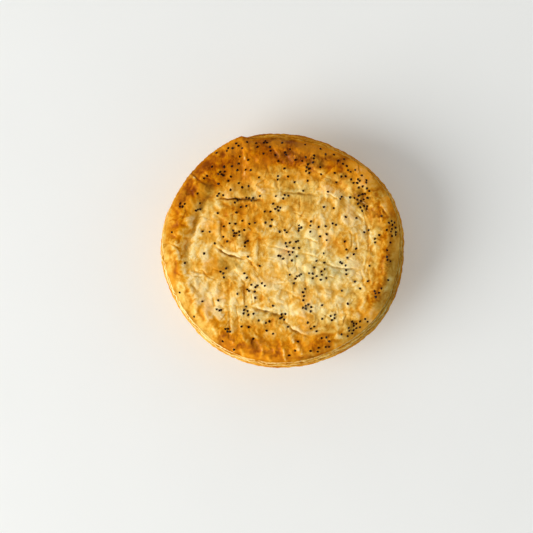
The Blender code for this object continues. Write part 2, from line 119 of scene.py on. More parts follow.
# Finer creases and torn flakes, too small for the solid, given in the same way
FLAKES = (
    (-14, 31.6, -8.4, 35.6, 0.4, 0.3, 0.7, 0.6, 4), (-37, 19.6, -30, 15.2, 0.2, 0.3, 0.7, 0.4, 3),
    (-28.6, 14.4, -24.4, 11.6, 0, 0.5, 0.6, 0.2, 2), (-30.2, 4.4, -30.8, 15, 0.4, 0.3, 0.8, 0.5, 4),
    (-25.6, 16, -25, 24, -0.3, 0.25, 0.8, 0.3, 3), (-19.2, 0, -18.6, 7, 0.2, 0.3, 0.7, 0.3, 3),
    (-15.6, 9.6, -17.8, 12, 0.2, 0.5, 0.6, 0.7, 2), (-32.2, 5.2, -27.8, 0.4, -0.3, 0.3, 0.7, 0.5, 3),
    (-24, 4.4, -23.4, -0.4, 0.1, 0.3, 0.6, 0.4, 2), (-22.4, -2, -16.8, -3, -0.6, 0.5, 0.6, 0.5, 2),
    (-24.4, -7.6, -19.8, -15.2, -0.4, 0.3, 0.7, 0.5, 3), (-41.4, -9.8, -37.8, -11.8, 0.3, 0.5, 0.6, 0.5, 2),
    (-34.6, -30.4, -36, -19.6, -0.4, 0.25, 0.8, 0.5, 4),
    (-44.6, -12.4, -39.8, -13.4, 0.3, 0.3, 0.7, 0.6, 3),
    (-15.6, -21.4, -14.6, -27.4, -0.3, 0.4, 0.7, 0.4, 3),
    (-23.4, -26.6, -22.2, -38.4, 0.4, 0.25, 0.8, 0.3, 3), (19.6, 28.8, 27.6, 24.6, 0.7, 0.4, 0.6, 0.6, 3),
    (8, 27, 8.2, 19.6, 0.2, 0.3, 0.6, 0.2, 2), (15.2, 12.4, 15, 17.8, 0.1, 0.3, 0.8, 0.5, 4),
    (1.6, 8.4, 4.4, 12.2, 0.1, 0.4, 0.6, 0.2, 2), (9.6, 6.2, 17.6, 3.4, 0.6, 0.3, 0.7, 0.6, 3),
    (33.2, 9.8, 33.8, -0.4, 0.4, 0.4, 0.7, 0.3, 2), (35.8, 8.6, 36.6, -3, 0.3, 0.3, 0.7, 0.4, 3),
    (37.4, 23, 40.6, 15.6, 0.7, 0.4, 0.6, 0.4, 2), (8.6, -1.2, 17.8, -3.6, 0.3, 0.35, 0.8, 0.6, 4),
    (8, -15, 10.4, -15.6, 0.2, 0.4, 0.6, 0.7, 2), (22.4, -12.4, 25.2, -13.6, 0.2, 0.4, 0.6, 0.7, 2),
    (10.8, -27, 17.8, -29.4, 0.5, 0.4, 0.6, 0.6, 3), (17.4, -31, 24.4, -34.6, 0.6, 0.4, 0.7, 0.5, 2),
    (29.4, -36.8, 32.6, -29.6, 0.4, 0.3, 0.7, 0.4, 3), (38.4, -9.4, 39.6, -17.6, 0.5, 0.4, 0.7, 0.3, 2),
    (42.2, -7.8, 43.4, -17.4, -0.4, 0.4, 0.8, 0.3, 3), (-6, -12.6, 1.8, -15.4, 0.4, 0.25, 0.8, 0.3, 4),
    (3, -20.6, 9.4, -24.2, -0.5, 0.25, 0.8, 0.3, 4), (-20.6, -40.5, -19.6, -45.5, 0.2, -0.5, 1, 0, 1),
    (-17.4, -38.6, -16.4, -41.8, 0, -0.4, 0.8, 0, 1), (-10.8, -48.6, -10.4, -52, 0.2, -0.5, 0.8, 0, 1),
    (-30.2, -43, -29.2, -48.4, 0.3, -0.4, 0.9, 0, 1), (24.6, -44.6, 26.4, -50.6, 0.3, -0.5, 1, 0, 1),
    (13.6, -47, 15.6, -52.6, -0.3, -0.4, 0.9, 0, 1), (-4.4, -47.6, -4, -52.4, 0.2, -0.45, 0.9, 0, 1),
    (-34.6, -38.4, -33.6, -43.4, 0.3, -0.4, 0.8, 0, 1),
)  # fmt: skip

# x, y, half width, half depth, rise
BLISTERS = (
    (-20.8, 11.3, 9, 11, 0.9), (-38.9, -2.3, 5, 8, 0.6), (-33.9, -24.8, 6, 6, 0.7), (-23, -20.8, 3, 6, 0.5),
    (-8.8, -19.8, 7, 6, 0.6), (8.8, -26, 8, 5, 0.6), (23.8, -22, 7, 7, 0.5), (31.4, 5.3, 6, 7, 0.5),
    (13.8, 17.8, 9, 7, 0.4), (-1.3, 36.4, 7, 4, 0.6), (18.8, 32.9, 7, 4, 0.5), (-15.3, 40.4, 4, 7, 0.6),
)  # fmt: skip
SWELLINGS = ((13.0, 0.55), (5.5, 0.3))  # size, height
# Low blisters too slight for the solid, given in the same way as BLISTERS
LOW_BLISTERS = ((-42.0, -18.5, 4.2, 8.0, 0.75), (35.0, 20.0, 3.6, 7.0, 0.4), (-33.5, -29.0, 4.0, 5.0, 0.2))

# ---------------------------------------------------------------- finer relief of the lid

# Share of the way out at which the raised rim starts, and over how much it takes hold
RIM_FROM, RIM_BLEND = 0.78, 0.08
# Thin sheets torn off the lid here and there: size of the holes, how far they are torn away, thickness
TORN_SHEETS = ((16.0, 0.20, 0.26), (9.0, 0.30, 0.18), (4.5, 0.22, 0.10))
SHEET_TONE = 0.09  # how much browner a sheet is than the dough beside it
RIDGE_PALE = 0.6  # how pale the ridges' crests are, partly a painted highlight
RAGGED = ((3.2, 0.7), (1.3, 0.3))  # how the folds stray: size, amount
# Soft folds that run the way the dough was rolled, near side to far side: width, length, height
ROLLED_FOLDS = ((6.0, 8.0, 0.50), (3.0, 3.6, 0.22))
PUFFS = ((6.0, 0.90), (2.8, 0.34))  # rounded puffs with creases between: size, height
# Sharp-crested wrinkles in the grain of the dough: width, length, height
WRINKLES = ((2.1, 2.8, 0.17), (1.2, 1.5, 0.09))
# Thin creases down the rim's inner side: middle angle, spread, height
CREASES_AT, CREASES_SPREAD, CREASES_RISE = 5.0, 60.0, 0.50
# Sharp-crested flakes that run across the rim: width, length, height, how much paler, a painted highlight on
# their crests
STREAK_WIDTH, STREAK_LENGTH, STREAK_RISE, STREAK_PALE = 1.5, 5.0, 0.22, 0.16
# Short lifted flake edges strewn over the lid: how many, length, lip, lean from +X
SHORT_TEARS, TEAR_LENGTH, TEAR_LIP, TEAR_LEAN = 60, (2.0, 8.0), (0.06, 0.26), (-14.0, 26.0)
# Bubbles strewn over the lid: how many, size, height for their size
SMALL_BLISTERS, BLISTER_SIZE, BLISTER_RISE = 110, (0.8, 2.0), 0.16
TEAR_DRAW, BLISTER_DRAW = 7, 11  # the random draws that strew them

# ---------------------------------------------------------------- browning

# How brown the rim is, from 0, pale dough, to 1, darkest, and how far in the browning reaches, both by angle
RIM_BAKE = (
    (0, 0.6), (30, 0.58), (55, 0.72), (80, 0.8), (105, 0.8), (130, 0.76), (150, 0.68), (170, 0.58),
    (195, 0.48), (215, 0.47), (235, 0.51), (255, 0.62), (285, 0.62), (310, 0.54), (335, 0.62), (360, 0.6),
)  # fmt: skip
BROWN_FROM = (
    (0, 0.72), (30, 0.66), (60, 0.48), (85, 0.4), (120, 0.42), (145, 0.54), (165, 0.72), (200, 0.84),
    (230, 0.8), (255, 0.72), (285, 0.72), (310, 0.78), (335, 0.72), (360, 0.74),
)  # fmt: skip
DOME_BAKE = 0.28  # how brown the middle of the lid is
DOME_RAW = 0.27  # how near to raw dough the whole middle of the lid stays
# How brown the layers at the side are, by angle
LAYER_BAKE = (
    (0, 0.4), (45, 0.42), (90, 0.5), (130, 0.5), (160, 0.36), (200, 0.2), (240, 0.28), (280, 0.38),
    (320, 0.38), (360, 0.4),
)  # fmt: skip
# How near to raw dough the lid's edge stays, by angle: partly painted sheen on the lamp's side and shade on
# the far side
PALE_EDGE = (
    (0, 0.4), (30, 0.2), (60, 0.1), (110, 0.1), (165, 0.1), (190, 0.7), (205, 1), (220, 0.4), (240, 0.1),
    (300, 0.2), (330, 0.6), (350, 0.6), (360, 0.4),
)  # fmt: skip
# Painted shade: how much the lid's outermost band, the layers and the case's rim are dulled to olive, by
# angle, most away from the lamp
SHADE_BY_ANGLE = (
    (0, 0.75), (30, 0.5), (60, 0.25), (90, 0.25), (110, 0.1), (150, 0), (250, 0), (280, 0.15), (300, 0.45),
    (330, 1), (360, 0.85),
)  # fmt: skip
EDGE_SHADE = 0.6  # how much of that painted shade the lid's outermost band has
# Rows of the lid's edge, which turns down and back under: how far out, how far down, how much browner
EDGE_ROWS = ((0.12, 0.2, 0.05), (0.05, 0.5, -0.1), (-0.5, 0.62, -0.3), (-3.0, 0.7, -0.3))
LAYERS = 5  # thin layers that show at the lid's side
# Down each layer: share of its thickness, how far in, how much browner, how pale, how much shade is painted
# in a gap
LAYER_ROWS = (
    (0.02, 0.9, 0.30, 0.0, 0.9), (0.14, 0.05, 0.05, 0.5, 0.0), (0.50, -0.08, 0.0, 0.9, 0.0),
    (0.86, 0.10, 0.05, 0.6, 0.0), (0.98, 0.9, 0.30, 0.0, 0.9),
)  # fmt: skip
WALL_RAW, LAYER_RAW = 0.5, 0.3  # how near to raw dough the wall and the layers are
# Browner or, below zero, paler places: x, y, half width, half depth, change
BAKE_PATCHES = (
    # far side, left
    (-3, 53.5, 10, 3, 0.2), (-21, 51, 6, 3, 0.12), (-20, 46, 3, 5, -0.1), (-8, 46, 2.4, 6, 0.1),
    (-41, 43, 4, 3, 0.1), (-41, 41, 4, 3, 0.12), (-28, 40, 11, 7, 0.12), (-4, 39.5, 9, 3, -0.16),
    (-47, 38, 5, 4, 0.18), (-44, 36, 1.6, 2.4, -0.16), (-40, 36, 2, 2, -0.12), (-18, 34, 3, 8, 0.2),
    (-11, 33, 3, 5, -0.08), (-46, 31, 4, 4, 0.18), (-42, 31, 2.4, 3, -0.16), (-35, 31, 3, 3, 0.18),
    (-27, 31, 3, 4, -0.1), (-25, 30, 8, 3, -0.12), (-19, 28.5, 3, 2.4, 0.12), (-12, 28.5, 4, 2, -0.16),
    (-51, 26, 4, 6, 0.12), (-50.5, 26, 3, 4, 0.14), (-19, 26, 4, 3, 0.1), (-14, 23.5, 4, 2.4, 0.08),
    (-7, 23, 3, 3, 0.12), (-47, 22, 3, 3, -0.12), (-25, 22, 4, 8, -0.06), (-28, 20, 4, 3, 0.12),
    (-57, 17, 3, 6, 0.06), (-29, 17, 2.4, 5, 0.08), (-9, 17, 4, 4, 0.2), (-42, 16, 3.5, 5, -0.12),
    (-23.5, 16, 2, 3.4, -0.14), (-22, 15, 11, 11, 0.23), (-50, 14, 4, 8, 0.05), (-38, 12, 3, 4, -0.12),
    (-14, 12, 3, 3, -0.1), (-45, 10, 4, 4, -0.12), (-30, 8, 2, 6, 0.1), (-30, 7, 4, 2.4, -0.16),
    (-5, 7, 3, 5, 0.12), (-37, 6, 4, 3, 0.1), (-18, 5, 1, 6, 0.14), (-14.5, 5, 2.6, 8, 0.12),
    (-57, 4, 2.5, 5, 0.12), (-24, 3, 1.1, 6, 0.16),
    # far side, right
    (12, 56.5, 13, 2, -0.3), (10, 56, 6, 3, -0.08), (26, 56, 9, 3, -0.1), (14, 51.5, 14, 3, 0.2),
    (14, 51, 7, 2, 0.12), (3, 46, 9, 3.5, 0.22), (19, 44, 9, 3, 0.16), (37, 41, 4, 3, -0.18),
    (20, 37.5, 3, 3, -0.18), (8.5, 37, 5, 5, -0.22), (27, 37, 3.5, 2.5, 0.1), (40, 36.5, 5, 5, -0.26),
    (42, 35, 3, 4, -0.14), (32, 34, 3, 3, 0.06), (2, 33.5, 4, 3.5, 0.22), (41, 31.5, 3, 3, -0.22),
    (22.5, 29, 4, 3, -0.3), (30, 29, 4, 3, -0.1), (38, 25, 3, 5, 0.38), (55, 25, 4, 5, 0.1),
    (38, 24, 3, 2.4, 0.14), (49, 24, 5, 5, -0.22), (9.5, 23, 5.5, 5.5, 0.22), (44, 20, 5, 5, 0.26),
    (32.5, 19.5, 3.4, 7, -0.1), (1.5, 15, 4, 6, 0.16), (36, 14, 3, 3, -0.1), (44.5, 13, 3, 4, 0.1),
    (7, 12, 3, 3, -0.12), (52, 12, 4, 5, -0.1), (12, 11, 3, 3, 0.12), (34, 9, 3, 3, -0.14),
    (17, 7, 3, 3, -0.12), (57.5, 7, 3, 7, -0.2), (22.5, 4.5, 4, 6, -0.16), (47.5, 3, 3, 4, -0.18),
    (30, 1.5, 4.5, 4.5, 0.3), (10, 0.5, 3.5, 3, 0.14),
    # near side, left
    (-47, -1, 6, 4, -0.1), (-34, -1, 3, 3, 0.1), (-39, -2, 3, 3, -0.16), (-57, -4, 3, 6, -0.06),
    (-29, -7, 7, 4, 0.26), (-43, -8, 3.5, 3, 0.18), (-53, -11, 3, 5, 0.24), (-35, -11, 7, 2.6, 0.14),
    (-14, -11, 4, 4, 0.1), (-50, -12, 4, 8, -0.1), (-25, -12.5, 5, 3, -0.14), (-28, -15, 5, 3, 0.16),
    (-14, -18, 4, 5, -0.08), (-42.5, -18.5, 4.5, 8, -0.13), (-56, -19, 3, 7, 0.2), (-25, -20, 3, 4, 0.18),
    (-20, -21, 1.4, 6, 0.22), (-2, -21, 6, 5, -0.18), (-28.5, -24, 1.2, 11, 0.2), (-10, -25, 2.2, 4, 0.14),
    (-33, -26, 8, 8, -0.22), (-23, -26, 3, 7, -0.1), (-48, -28, 3, 4, 0.1), (-46, -30, 4, 8, 0.06),
    (-22, -31, 3, 2.4, -0.14), (-3, -32, 6, 3, 0.14), (-38, -33, 3, 3, 0.1), (-35, -35, 3, 2.4, -0.14),
    (-32, -35.5, 4, 3.5, 0.2), (-5, -36.5, 5, 2.6, 0.2), (-15, -38, 6, 3, 0.28), (-24, -39.5, 3, 3, -0.1),
    (-38, -40, 4, 3, 0.05), (-38, -42, 5, 3, -0.06), (-8, -43, 3.5, 3, -0.3), (-29, -45, 5, 4, 0.38),
    (-13, -46, 3, 3, 0.1), (-3, -46, 18, 6, 0.12), (-13.5, -47, 3.6, 3.6, 0.34), (-22, -48, 4, 3, 0.1),
    (-15, -49, 3, 3, 0.22), (-3, -51, 6, 3, 0.08), (-2, -54, 2.4, 2.4, 0.14),
    # near side, right
    (1, -1.5, 4.5, 5, -0.36), (43, -2, 2.4, 7, 0.28), (50.5, -4, 3, 5, 0.12), (20, -6, 2.4, 3, 0.1),
    (27, -6, 10, 3, -0.14), (43, -7, 3, 5, 0.1), (34, -9, 5, 4, -0.18), (52.5, -9, 3, 5, 0.14),
    (7, -11, 4, 6, -0.18), (3, -12, 4, 5, 0.1), (47, -12, 3, 4, -0.07), (15, -13, 5, 4, -0.08),
    (21, -13, 5, 5, 0.08), (46, -17, 3, 3.4, 0.14), (3, -18.5, 4, 3, 0.1), (55, -19, 4, 9, -0.2),
    (16, -20, 4, 3, 0.1), (36, -23, 5, 3, 0.08), (52.5, -25, 3, 5, -0.1), (32, -26, 3, 3, -0.1),
    (41, -26, 5, 2.4, 0.14), (8, -28.5, 3, 2.4, 0.2), (19, -29, 3, 3, -0.14), (3, -29.5, 11, 2.6, -0.24),
    (44, -31, 6, 5, -0.2), (33, -32, 3, 3, 0.12), (40, -37.5, 5, 3, -0.14), (20, -38, 6, 4, 0.16),
    (34, -38, 3, 3, 0.1), (38, -38.5, 3, 3, -0.08), (5, -41, 4, 2.4, 0.08), (10, -41, 5, 1.6, -0.1),
    (24, -44, 3, 3, 0.08), (20, -46, 6, 4, 0.18), (28, -46, 5, 4, -0.18), (10, -47, 3, 2, -0.16),
    (2.5, -49, 2.4, 3, -0.28), (10, -50.5, 4, 2.5, -0.16), (9, -52, 4, 2.4, 0.12), (8, -56, 5, 2.5, -0.08),
)  # fmt: skip
# Places where raw, pale green-yellow dough shows or, below zero, doesn't, given in the same way
RAW_PATCHES = (
    # far side, left
    (-47, 38, 4, 3, 0.5), (-10, 30, 3, 3, -0.4), (-17, 29, 3, 5, 0.6), (-50, 27, 3, 4, 0.1),
    (-18, 27, 4, 3, 0.5), (-50, 26, 4, 5, 0.3), (-37, 26, 4, 7, 0.8), (-41, 21, 3, 4, 0.5),
    (-58.5, 17, 2.5, 6, 0.4), (-18, 12, 12, 12, -0.2), (-25, 7, 3, 6, 0.3), (-19, 7, 4, 3, 0.4),
    (-60, 2, 2.5, 6, 0.5), (-7, 2, 3, 4, 0.4),
    # far side, right
    (0, 57, 8, 2, 0.4), (3, 47, 8, 3, 0.4), (18, 45, 5, 4, 0.4), (15, 42, 5, 4, 0.5), (9, 36.5, 5, 3, -0.3),
    (28, 35.5, 7, 3, 0.9), (0, 33, 4, 3, 0.7), (21, 32, 4, 3, -0.2), (9, 29.5, 11, 4, 0.8),
    (35, 29, 4, 5.5, 1.2), (12, 27, 6, 4, 0.3), (38, 25, 3.5, 6, 0.8), (12, 22, 7, 5, 0.5),
    (33, 20, 3, 6, 0.2), (41, 20, 5, 6, 0.7), (45, 13, 4, 5, 0.5), (46, 8, 3.5, 8, 0.5), (18, 6, 9, 6, 0.4),
    (9, 4, 5, 7, 0.8), (55, 4, 3, 6, 0.4), (10, 0, 3, 3, 0.3),
    # near side, left
    (-46.5, -1, 3, 7, 0.8), (-35, -6, 4, 3, -0.4), (-27, -6.5, 8, 3, 0.9), (-28, -9, 7, 5, 0.2),
    (-54, -11, 2.5, 3, -0.4), (-42, -19, 4, 8, 0.4), (-54, -22, 4, 8, 0.5), (-54, -24, 3, 6, 0.3),
    (-18, -25, 3, 5, 0.3), (-51, -26, 3, 5, 0.5), (-47, -30, 6, 10, 0.4), (-22, -32, 6, 4, 0.3),
    (-13, -34, 7, 3, 0.4), (-39, -39, 5, 5, 0.8), (-36, -44, 7, 4, 0.4), (-14, -46, 4, 3, 0.4),
    # near side, right
    (12, -3, 10, 5, 0.5), (43.5, -3, 4, 8, 0.8), (16, -5, 12, 13, 0.35), (23, -6.5, 9, 3, 0.8),
    (52, -7, 3, 4, 0.7), (16, -9, 8, 8, 0.4), (45, -10, 4, 8, 0.4), (5, -12, 9, 6, 0.3),
    (22, -12, 10, 6, 0.7), (54, -12, 4, 14, 0.5), (5, -19, 4, 3, 0.5), (35, -19, 6, 4, 0.4),
    (45, -20, 4, 4, 0.3), (36, -22, 6, 5, 0.3), (36, -24, 4, 5, 0.7), (1, -30, 8, 3, 0.5),
    (30, -30, 12, 9, 0.3), (20, -36, 6, 8, 0.7), (28, -37, 8, 5, 0.6), (33, -37, 4, 4, 0.5),
    (11, -41, 6, 1.6, 0.4), (14, -55, 5, 2.4, 0.9),
)  # fmt: skip
# Places painted dull and olive as shade, such as the shaded side of a crack, or, below zero, clear ones
SHADE_PATCHES = (
    # far side, left
    (-38.5, 31, 4, 4, 0.4), (-38, 25, 4, 5, 0.2), (-43.5, 14, 2.6, 12, 0.3), (-57.5, 5, 3, 9, 0.1),
    # far side, right
    (0, 56.5, 9, 2.5, 0.25), (38, 40, 7, 6, -0.4), (4, 29.5, 8, 1.5, 0.2), (38, 22, 4, 5, 0.15),
    (52, 22, 4, 5, -0.4), (44, 10, 4, 6, 0.15), (9, 4, 4, 6, 0.16),
    # near side, left
    (-46.5, -4, 3, 5, 0.12), (-26, -6.5, 6, 3, 0.12), (-8, -31.6, 6, 1.5, 0.3),
    # near side, right
    (43, -3, 3, 6, 0.1), (3, -3.4, 6, 1.4, 0.35), (20, -7, 6, 3, 0.14), (44, -9, 3, 8, 0.1),
    (29, -10.6, 8, 1.6, 0.35), (22, -13, 6, 4, 0.15), (45, -33, 5, 4, -0.4), (38, -38, 9, 4, 0.12),
    (12, -40.6, 5, 1.6, 0.2),
)  # fmt: skip
# Places where the crust is painted bright orange: partly its own colour, partly painted light on slopes
# turned from the lamp
GOLDEN_PATCHES = (
    # far side, left
    (-3, 53, 5, 2.5, 0.4), (-23, 51.5, 8, 4, 0.35), (-15, 42, 9, 4, 0.25), (-22, 37, 6, 3, 0.2),
    (-11, 33, 4, 6, 0.25), (-40.5, 29.5, 3, 3, 0.5), (-27, 28.5, 3, 2.5, 0.35), (-46, 22, 3, 4, 0.35),
    (-46, 15, 3, 4, 0.2), (-15, 15, 5, 9, 0.2), (-36, 12, 4, 4, 0.35),
    # far side, right
    (19, 51, 13, 4, 0.5), (34, 42, 4, 3.5, 0.5), (8, 37, 6, 3, 0.4), (39, 37, 4.5, 5, 0.7),
    (43, 33.5, 3, 3, 0.4), (22, 31, 5, 3, 0.35), (52, 22, 3, 4, 0.4), (33, 19, 3, 6, 0.2),
    (16, 14, 3, 3, 0.2), (22, 5, 4, 4, 0.3), (55, 2, 2.5, 6, 0.2),
    # near side, left
    (-36, -7, 4, 3, 0.4), (-8, -14, 7, 3, 0.15), (-56, -15, 2.5, 4, 0.3), (-30, -22, 3, 4, 0.25),
    (-43, -24, 4, 6, 0.15), (-38, -29, 3, 5, 0.35), (-33, -36, 6, 4, 0.2), (-22, -41, 6, 3.5, 0.35),
    (-8, -46, 5, 6, 0.4), (-27, -47, 4, 4, 0.25), (-18.5, -49.5, 4, 3, 0.2), (-13, -55, 12, 3, 0.3),
    # near side, right
    (1.5, -1.5, 3, 3, 0.35), (37, -8, 2.5, 4, 0.1), (10.5, -24, 3, 4, 0.3), (43, -33, 6, 5, 0.4),
    (10, -35, 3, 5, 0.3), (38, -38.5, 3, 3, 0.7), (12, -43, 4, 5, 0.35), (27, -48, 4, 3, 0.4),
    (3, -49, 6, 5, 0.2), (9, -49, 4, 3, 0.25),
)  # fmt: skip

# ---------------------------------------------------------------- poppy seeds

SEED_LENGTH, SEED_BREADTH, SEED_THICK = 1.36, 1.12, 1.0
SEED_COUNT = 370
FUSED_SEEDS = 180  # the largest ones
SEED_LIFT = 0.12  # how high a seed's middle lies above the crust
SEED_DRAW, TONE_DRAW = 4, 21  # the random draws that place the seeds and shade them
DROPPED_FROM = 60.0  # a level above all of the lid, from which a seed comes down onto it
WIDE_GAP, CLOSE_GAP = 1.6, 1.05  # least distance between seeds: among the largest ones, and among the rest
# Where the seeds lie in clumps, then where they merely fell thicker: x, y, spread, number of seeds
SEED_CLUMPS = (
    (-50.8, 21.8, 0.9, 4), (-42.2, 20.3, 0.6, 3), (-22.8, 25.2, 0.6, 3), (-15.5, 25.4, 1.2, 5),
    (-3.3, 20.5, 0.7, 4), (-24, 7.7, 1.4, 7), (-9.5, 54, 0.9, 3), (1, 27.2, 0.6, 3), (38, 32, 1.8, 9),
    (37.9, 25.9, 1.5, 8), (40.4, 21.8, 0.8, 3), (54.7, 11.5, 1.9, 8), (19.7, 9.7, 2.4, 6),
    (7.9, 11.2, 0.5, 3), (-29.1, -10, 1.2, 3), (-31.8, -29.5, 0.8, 3), (-17.1, -20.5, 1.8, 5),
    (-18.5, -30.3, 1, 5), (-27.6, -40, 1.8, 4), (-0.8, -32.8, 1.2, 5), (8, -12.2, 0.5, 3),
    (18, -11.5, 2.8, 8), (30, -8.2, 0.8, 3), (12.6, -28.3, 1.3, 6), (24, -33, 1.2, 4), (38, -36, 2, 8),
    (33.5, -43, 1.8, 6), (19.5, -45, 2.2, 8), (46.4, -21, 0.7, 3), (51.8, -3.9, 1, 3), (-20, 50, 8, 14),
    (12, 50, 9, 18), (-26, 38, 6, 12), (30, 40, 6, 8), (-20, 15, 5, 9), (6, 3, 5, 9),
)  # fmt: skip
# Elsewhere they thin out towards this angle, down to this share
SPARSE_ANGLE, SPARSE_SHARE = 200, 0.22

# ---------------------------------------------------------------- how fine the meshes are

LID_GRID = 300  # squares across the lid
ROUND_STEPS = 1200  # points round each row of the layers
CASE_STEPS = 900  # points round each row of the case

# ---------------------------------------------------------------- camera and light

VIEW_ASIDE = (-8.0, -8.0)  # the camera hangs over this point, looking straight down
VIEW_HEIGHT = 750.0
FRAME_WIDTH = 267.6  # what the picture takes in across, at the rim's height
KEY_ANGLE, KEY_RISE = 201.0, 31.0  # the side that the light comes from, and how high it stands
KEY_AWAY, KEY_SIZE, KEY_POWER = 2.2, 1.9, 46.0  # metres, metres, watts
FILL_LOW, FILL_HIGH = 0.98, 0.38  # brightness of the studio at the horizon and overhead
FLOOR_REACH = 1500.0  # half the floor's width


# ================================================================ shape rules


def lattice_noise(x, y, size, draw):
    """Smooth noise from about -1 to 1, in swells about size millimetres wide. draw picks the pattern."""
    cells = 64
    turn = np.random.default_rng(draw).uniform(0, 2 * math.pi, (cells, cells))
    across, up = x / size + cells / 2, y / size + cells / 2
    left, low = np.floor(across).astype(int), np.floor(up).astype(int)
    fx, fy = across - left, up - low

    def corner(i, j):
        angle = turn[(left + i) % cells, (low + j) % cells]
        return np.cos(angle) * (fx - i) + np.sin(angle) * (fy - j)

    sx, sy = (f * f * f * (f * (6 * f - 15) + 10) for f in (fx, fy))
    near = corner(0, 0) * (1 - sx) + corner(1, 0) * sx
    far = corner(0, 1) * (1 - sx) + corner(1, 1) * sx
    return 1.5 * (near * (1 - sy) + far * sy)


def rough_noise(x, y, size, draw):
    """Noise of four sizes, each half the last and half as strong, for ragged outlines."""
    total = sum(0.5**n * lattice_noise(x + 17.3 * n, y - 9.1 * n, size / 2**n, draw + n) for n in range(4))
    return total / sum(0.5**n for n in range(4)) * 1.5


def smooth_step(value):
    value = np.clip(value, 0.0, 1.0)
    return value * value * (3 - 2 * value)


def bell(value, spread):
    return np.exp(-((value / spread) ** 2))


def angle_gap(degrees, middle):
    """Degrees from middle, from -180 to 180."""
    return (degrees - middle + 180) % 360 - 180


def by_angle(degrees, table):
    angles, values = zip(*table)
    return np.interp(np.mod(degrees, 360), angles, values)


def rim_radius(degrees):
    a = np.radians(degrees)
    waves = sum(c * np.cos(n * a) + s * np.sin(n * a) for n, c, s in OUTLINE_WAVES)
    return PIE_WIDTH / 2 + waves


def lid_radius(degrees):
    return rim_radius(degrees) - by_angle(degrees, LID_SETBACK)


def fold_relief(x, y, fold, sharpness):
    """Height that a fold gives the lid at x, y, how much shade is painted in its groove, and how pale its lip
    is.
    """
    start_x, start_y, end_x, end_y, bow, depth, width, lip, reach = fold
    width = width / sharpness
    length = math.hypot(end_x - start_x, end_y - start_y)
    run_x, run_y = (end_x - start_x) / length, (end_y - start_y) / length
    along = np.clip(((x - start_x) * run_x + (y - start_y) * run_y) / length, 0, 1)
    across = (y - start_y) * run_x - (x - start_x) * run_y - 4 * along * (1 - along) * bow
    fade = np.sqrt(np.abs(np.sin(math.pi * along)))
    sheet = smooth_step(0.5 + across / width) * np.exp(-np.maximum(across, 0) / reach)
    # Painted shade in the groove
    dark = fade**2 * depth * bell(across, 0.7 * width) / max(width, 1) ** 2
    # A ridge's crest, and the edge of a fold's lip, are paler: partly fresh dough, partly a painted highlight
    if depth < 0:
        pale, pale_at = -depth * RIDGE_PALE, 0
    else:
        pale, pale_at = 1.6 * lip * min(depth + 0.3, 1.0) / max(width, 1), 0.9 * width
    edge = pale * fade * bell(across - pale_at, 0.6 * width)
    return fade * (lip * sheet - depth * bell(across, width)), dark, edge


def fold_reach(fold):
    """How far from a fold's middle it still shapes the lid."""
    return math.hypot(fold[2] - fold[0], fold[3] - fold[1]) / 2 + abs(fold[4]) + 3 * fold[8] + 3


def short_tears():
    """Small folds, strewn at random, that lie roughly along the way the dough was rolled."""
    draw = np.random.default_rng(TEAR_DRAW)
    for _ in range(SHORT_TEARS):
        far, a = PIE_WIDTH / 2 * 0.9 * math.sqrt(draw.random()), 2 * math.pi * draw.random()
        x, y = far * math.cos(a), far * math.sin(a)
        half = draw.uniform(*TEAR_LENGTH) / 2
        lean = math.radians(draw.normal(*TEAR_LEAN) + (90 if draw.random() < 0.55 else 0))
        lip = draw.uniform(*TEAR_LIP)
        run_x, run_y = half * math.cos(lean), half * math.sin(lean)
        yield (x - run_x, y - run_y, x + run_x, y + run_y, draw.normal(0, 0.4), 1.6 * lip, 0.45, lip, 1.2)


def valley_height(degrees, share):
    valley_at = VALLEY_AT + VALLEY_SHIFT * np.cos(np.radians(degrees))
    changes = (more * bell(angle_gap(degrees, middle), spread) for middle, spread, more in VALLEY_CHANGES)
    return -(VALLEY_DEPTH + sum(changes)) * bell(share - valley_at, VALLEY_SPREAD)


def broad_height(degrees, share):
    """The lid's low dome, the valley round it, the raised rim and its rounded shoulder."""
    height = CROWN_HEIGHT + DOME_RISE * (1 - smooth_step(share / DOME_REACH)) + valley_height(degrees, share)
    height += CREST_RISE * bell(share - CREST_AT, CREST_SPREAD)
    return height - SHOULDER_DROP * np.clip((share - SHOULDER_FROM) / (1 - SHOULDER_FROM), 0, 1) ** 2


def edge_height(degrees):
    a = np.radians(degrees)
    return LID_EDGE_HEIGHT + 0.35 * np.sin(3 * a + 0.6) + 0.25 * np.sin(7 * a)


def torn_sheet(x, y, size, torn, draw):
    """Millimetres inside a ragged sheet's edge at x, y, from -3 outside to 3 inside."""
    step = 0.15
    here = rough_noise(x, y, size, draw)
    slope_x = (rough_noise(x + step, y, size, draw) - here) / step
    slope_y = (rough_noise(x, y + step, size, draw) - here) / step
    return np.clip((here - torn) / np.maximum(np.hypot(slope_x, slope_y), 0.25 / size), -3, 3)


def small_blisters():
    """x, y, size of the small bubbles, strewn at random."""
    draw = np.random.default_rng(BLISTER_DRAW)
    radius = PIE_WIDTH / 2 * np.sqrt(draw.random(SMALL_BLISTERS)) * 0.94
    a = 2 * math.pi * draw.random(SMALL_BLISTERS)
    return zip(radius * np.cos(a), radius * np.sin(a), draw.uniform(*BLISTER_SIZE, SMALL_BLISTERS))


def stray(x, y, draw):
    """How far the folds stray sideways at x, y."""
    return sum(amount * lattice_noise(x, y, size, draw + n) for n, (size, amount) in enumerate(RAGGED))


def on_rim(share):
    """0 inside the raised rim, 1 on it."""
    return smooth_step((share - RIM_FROM) / RIM_BLEND)


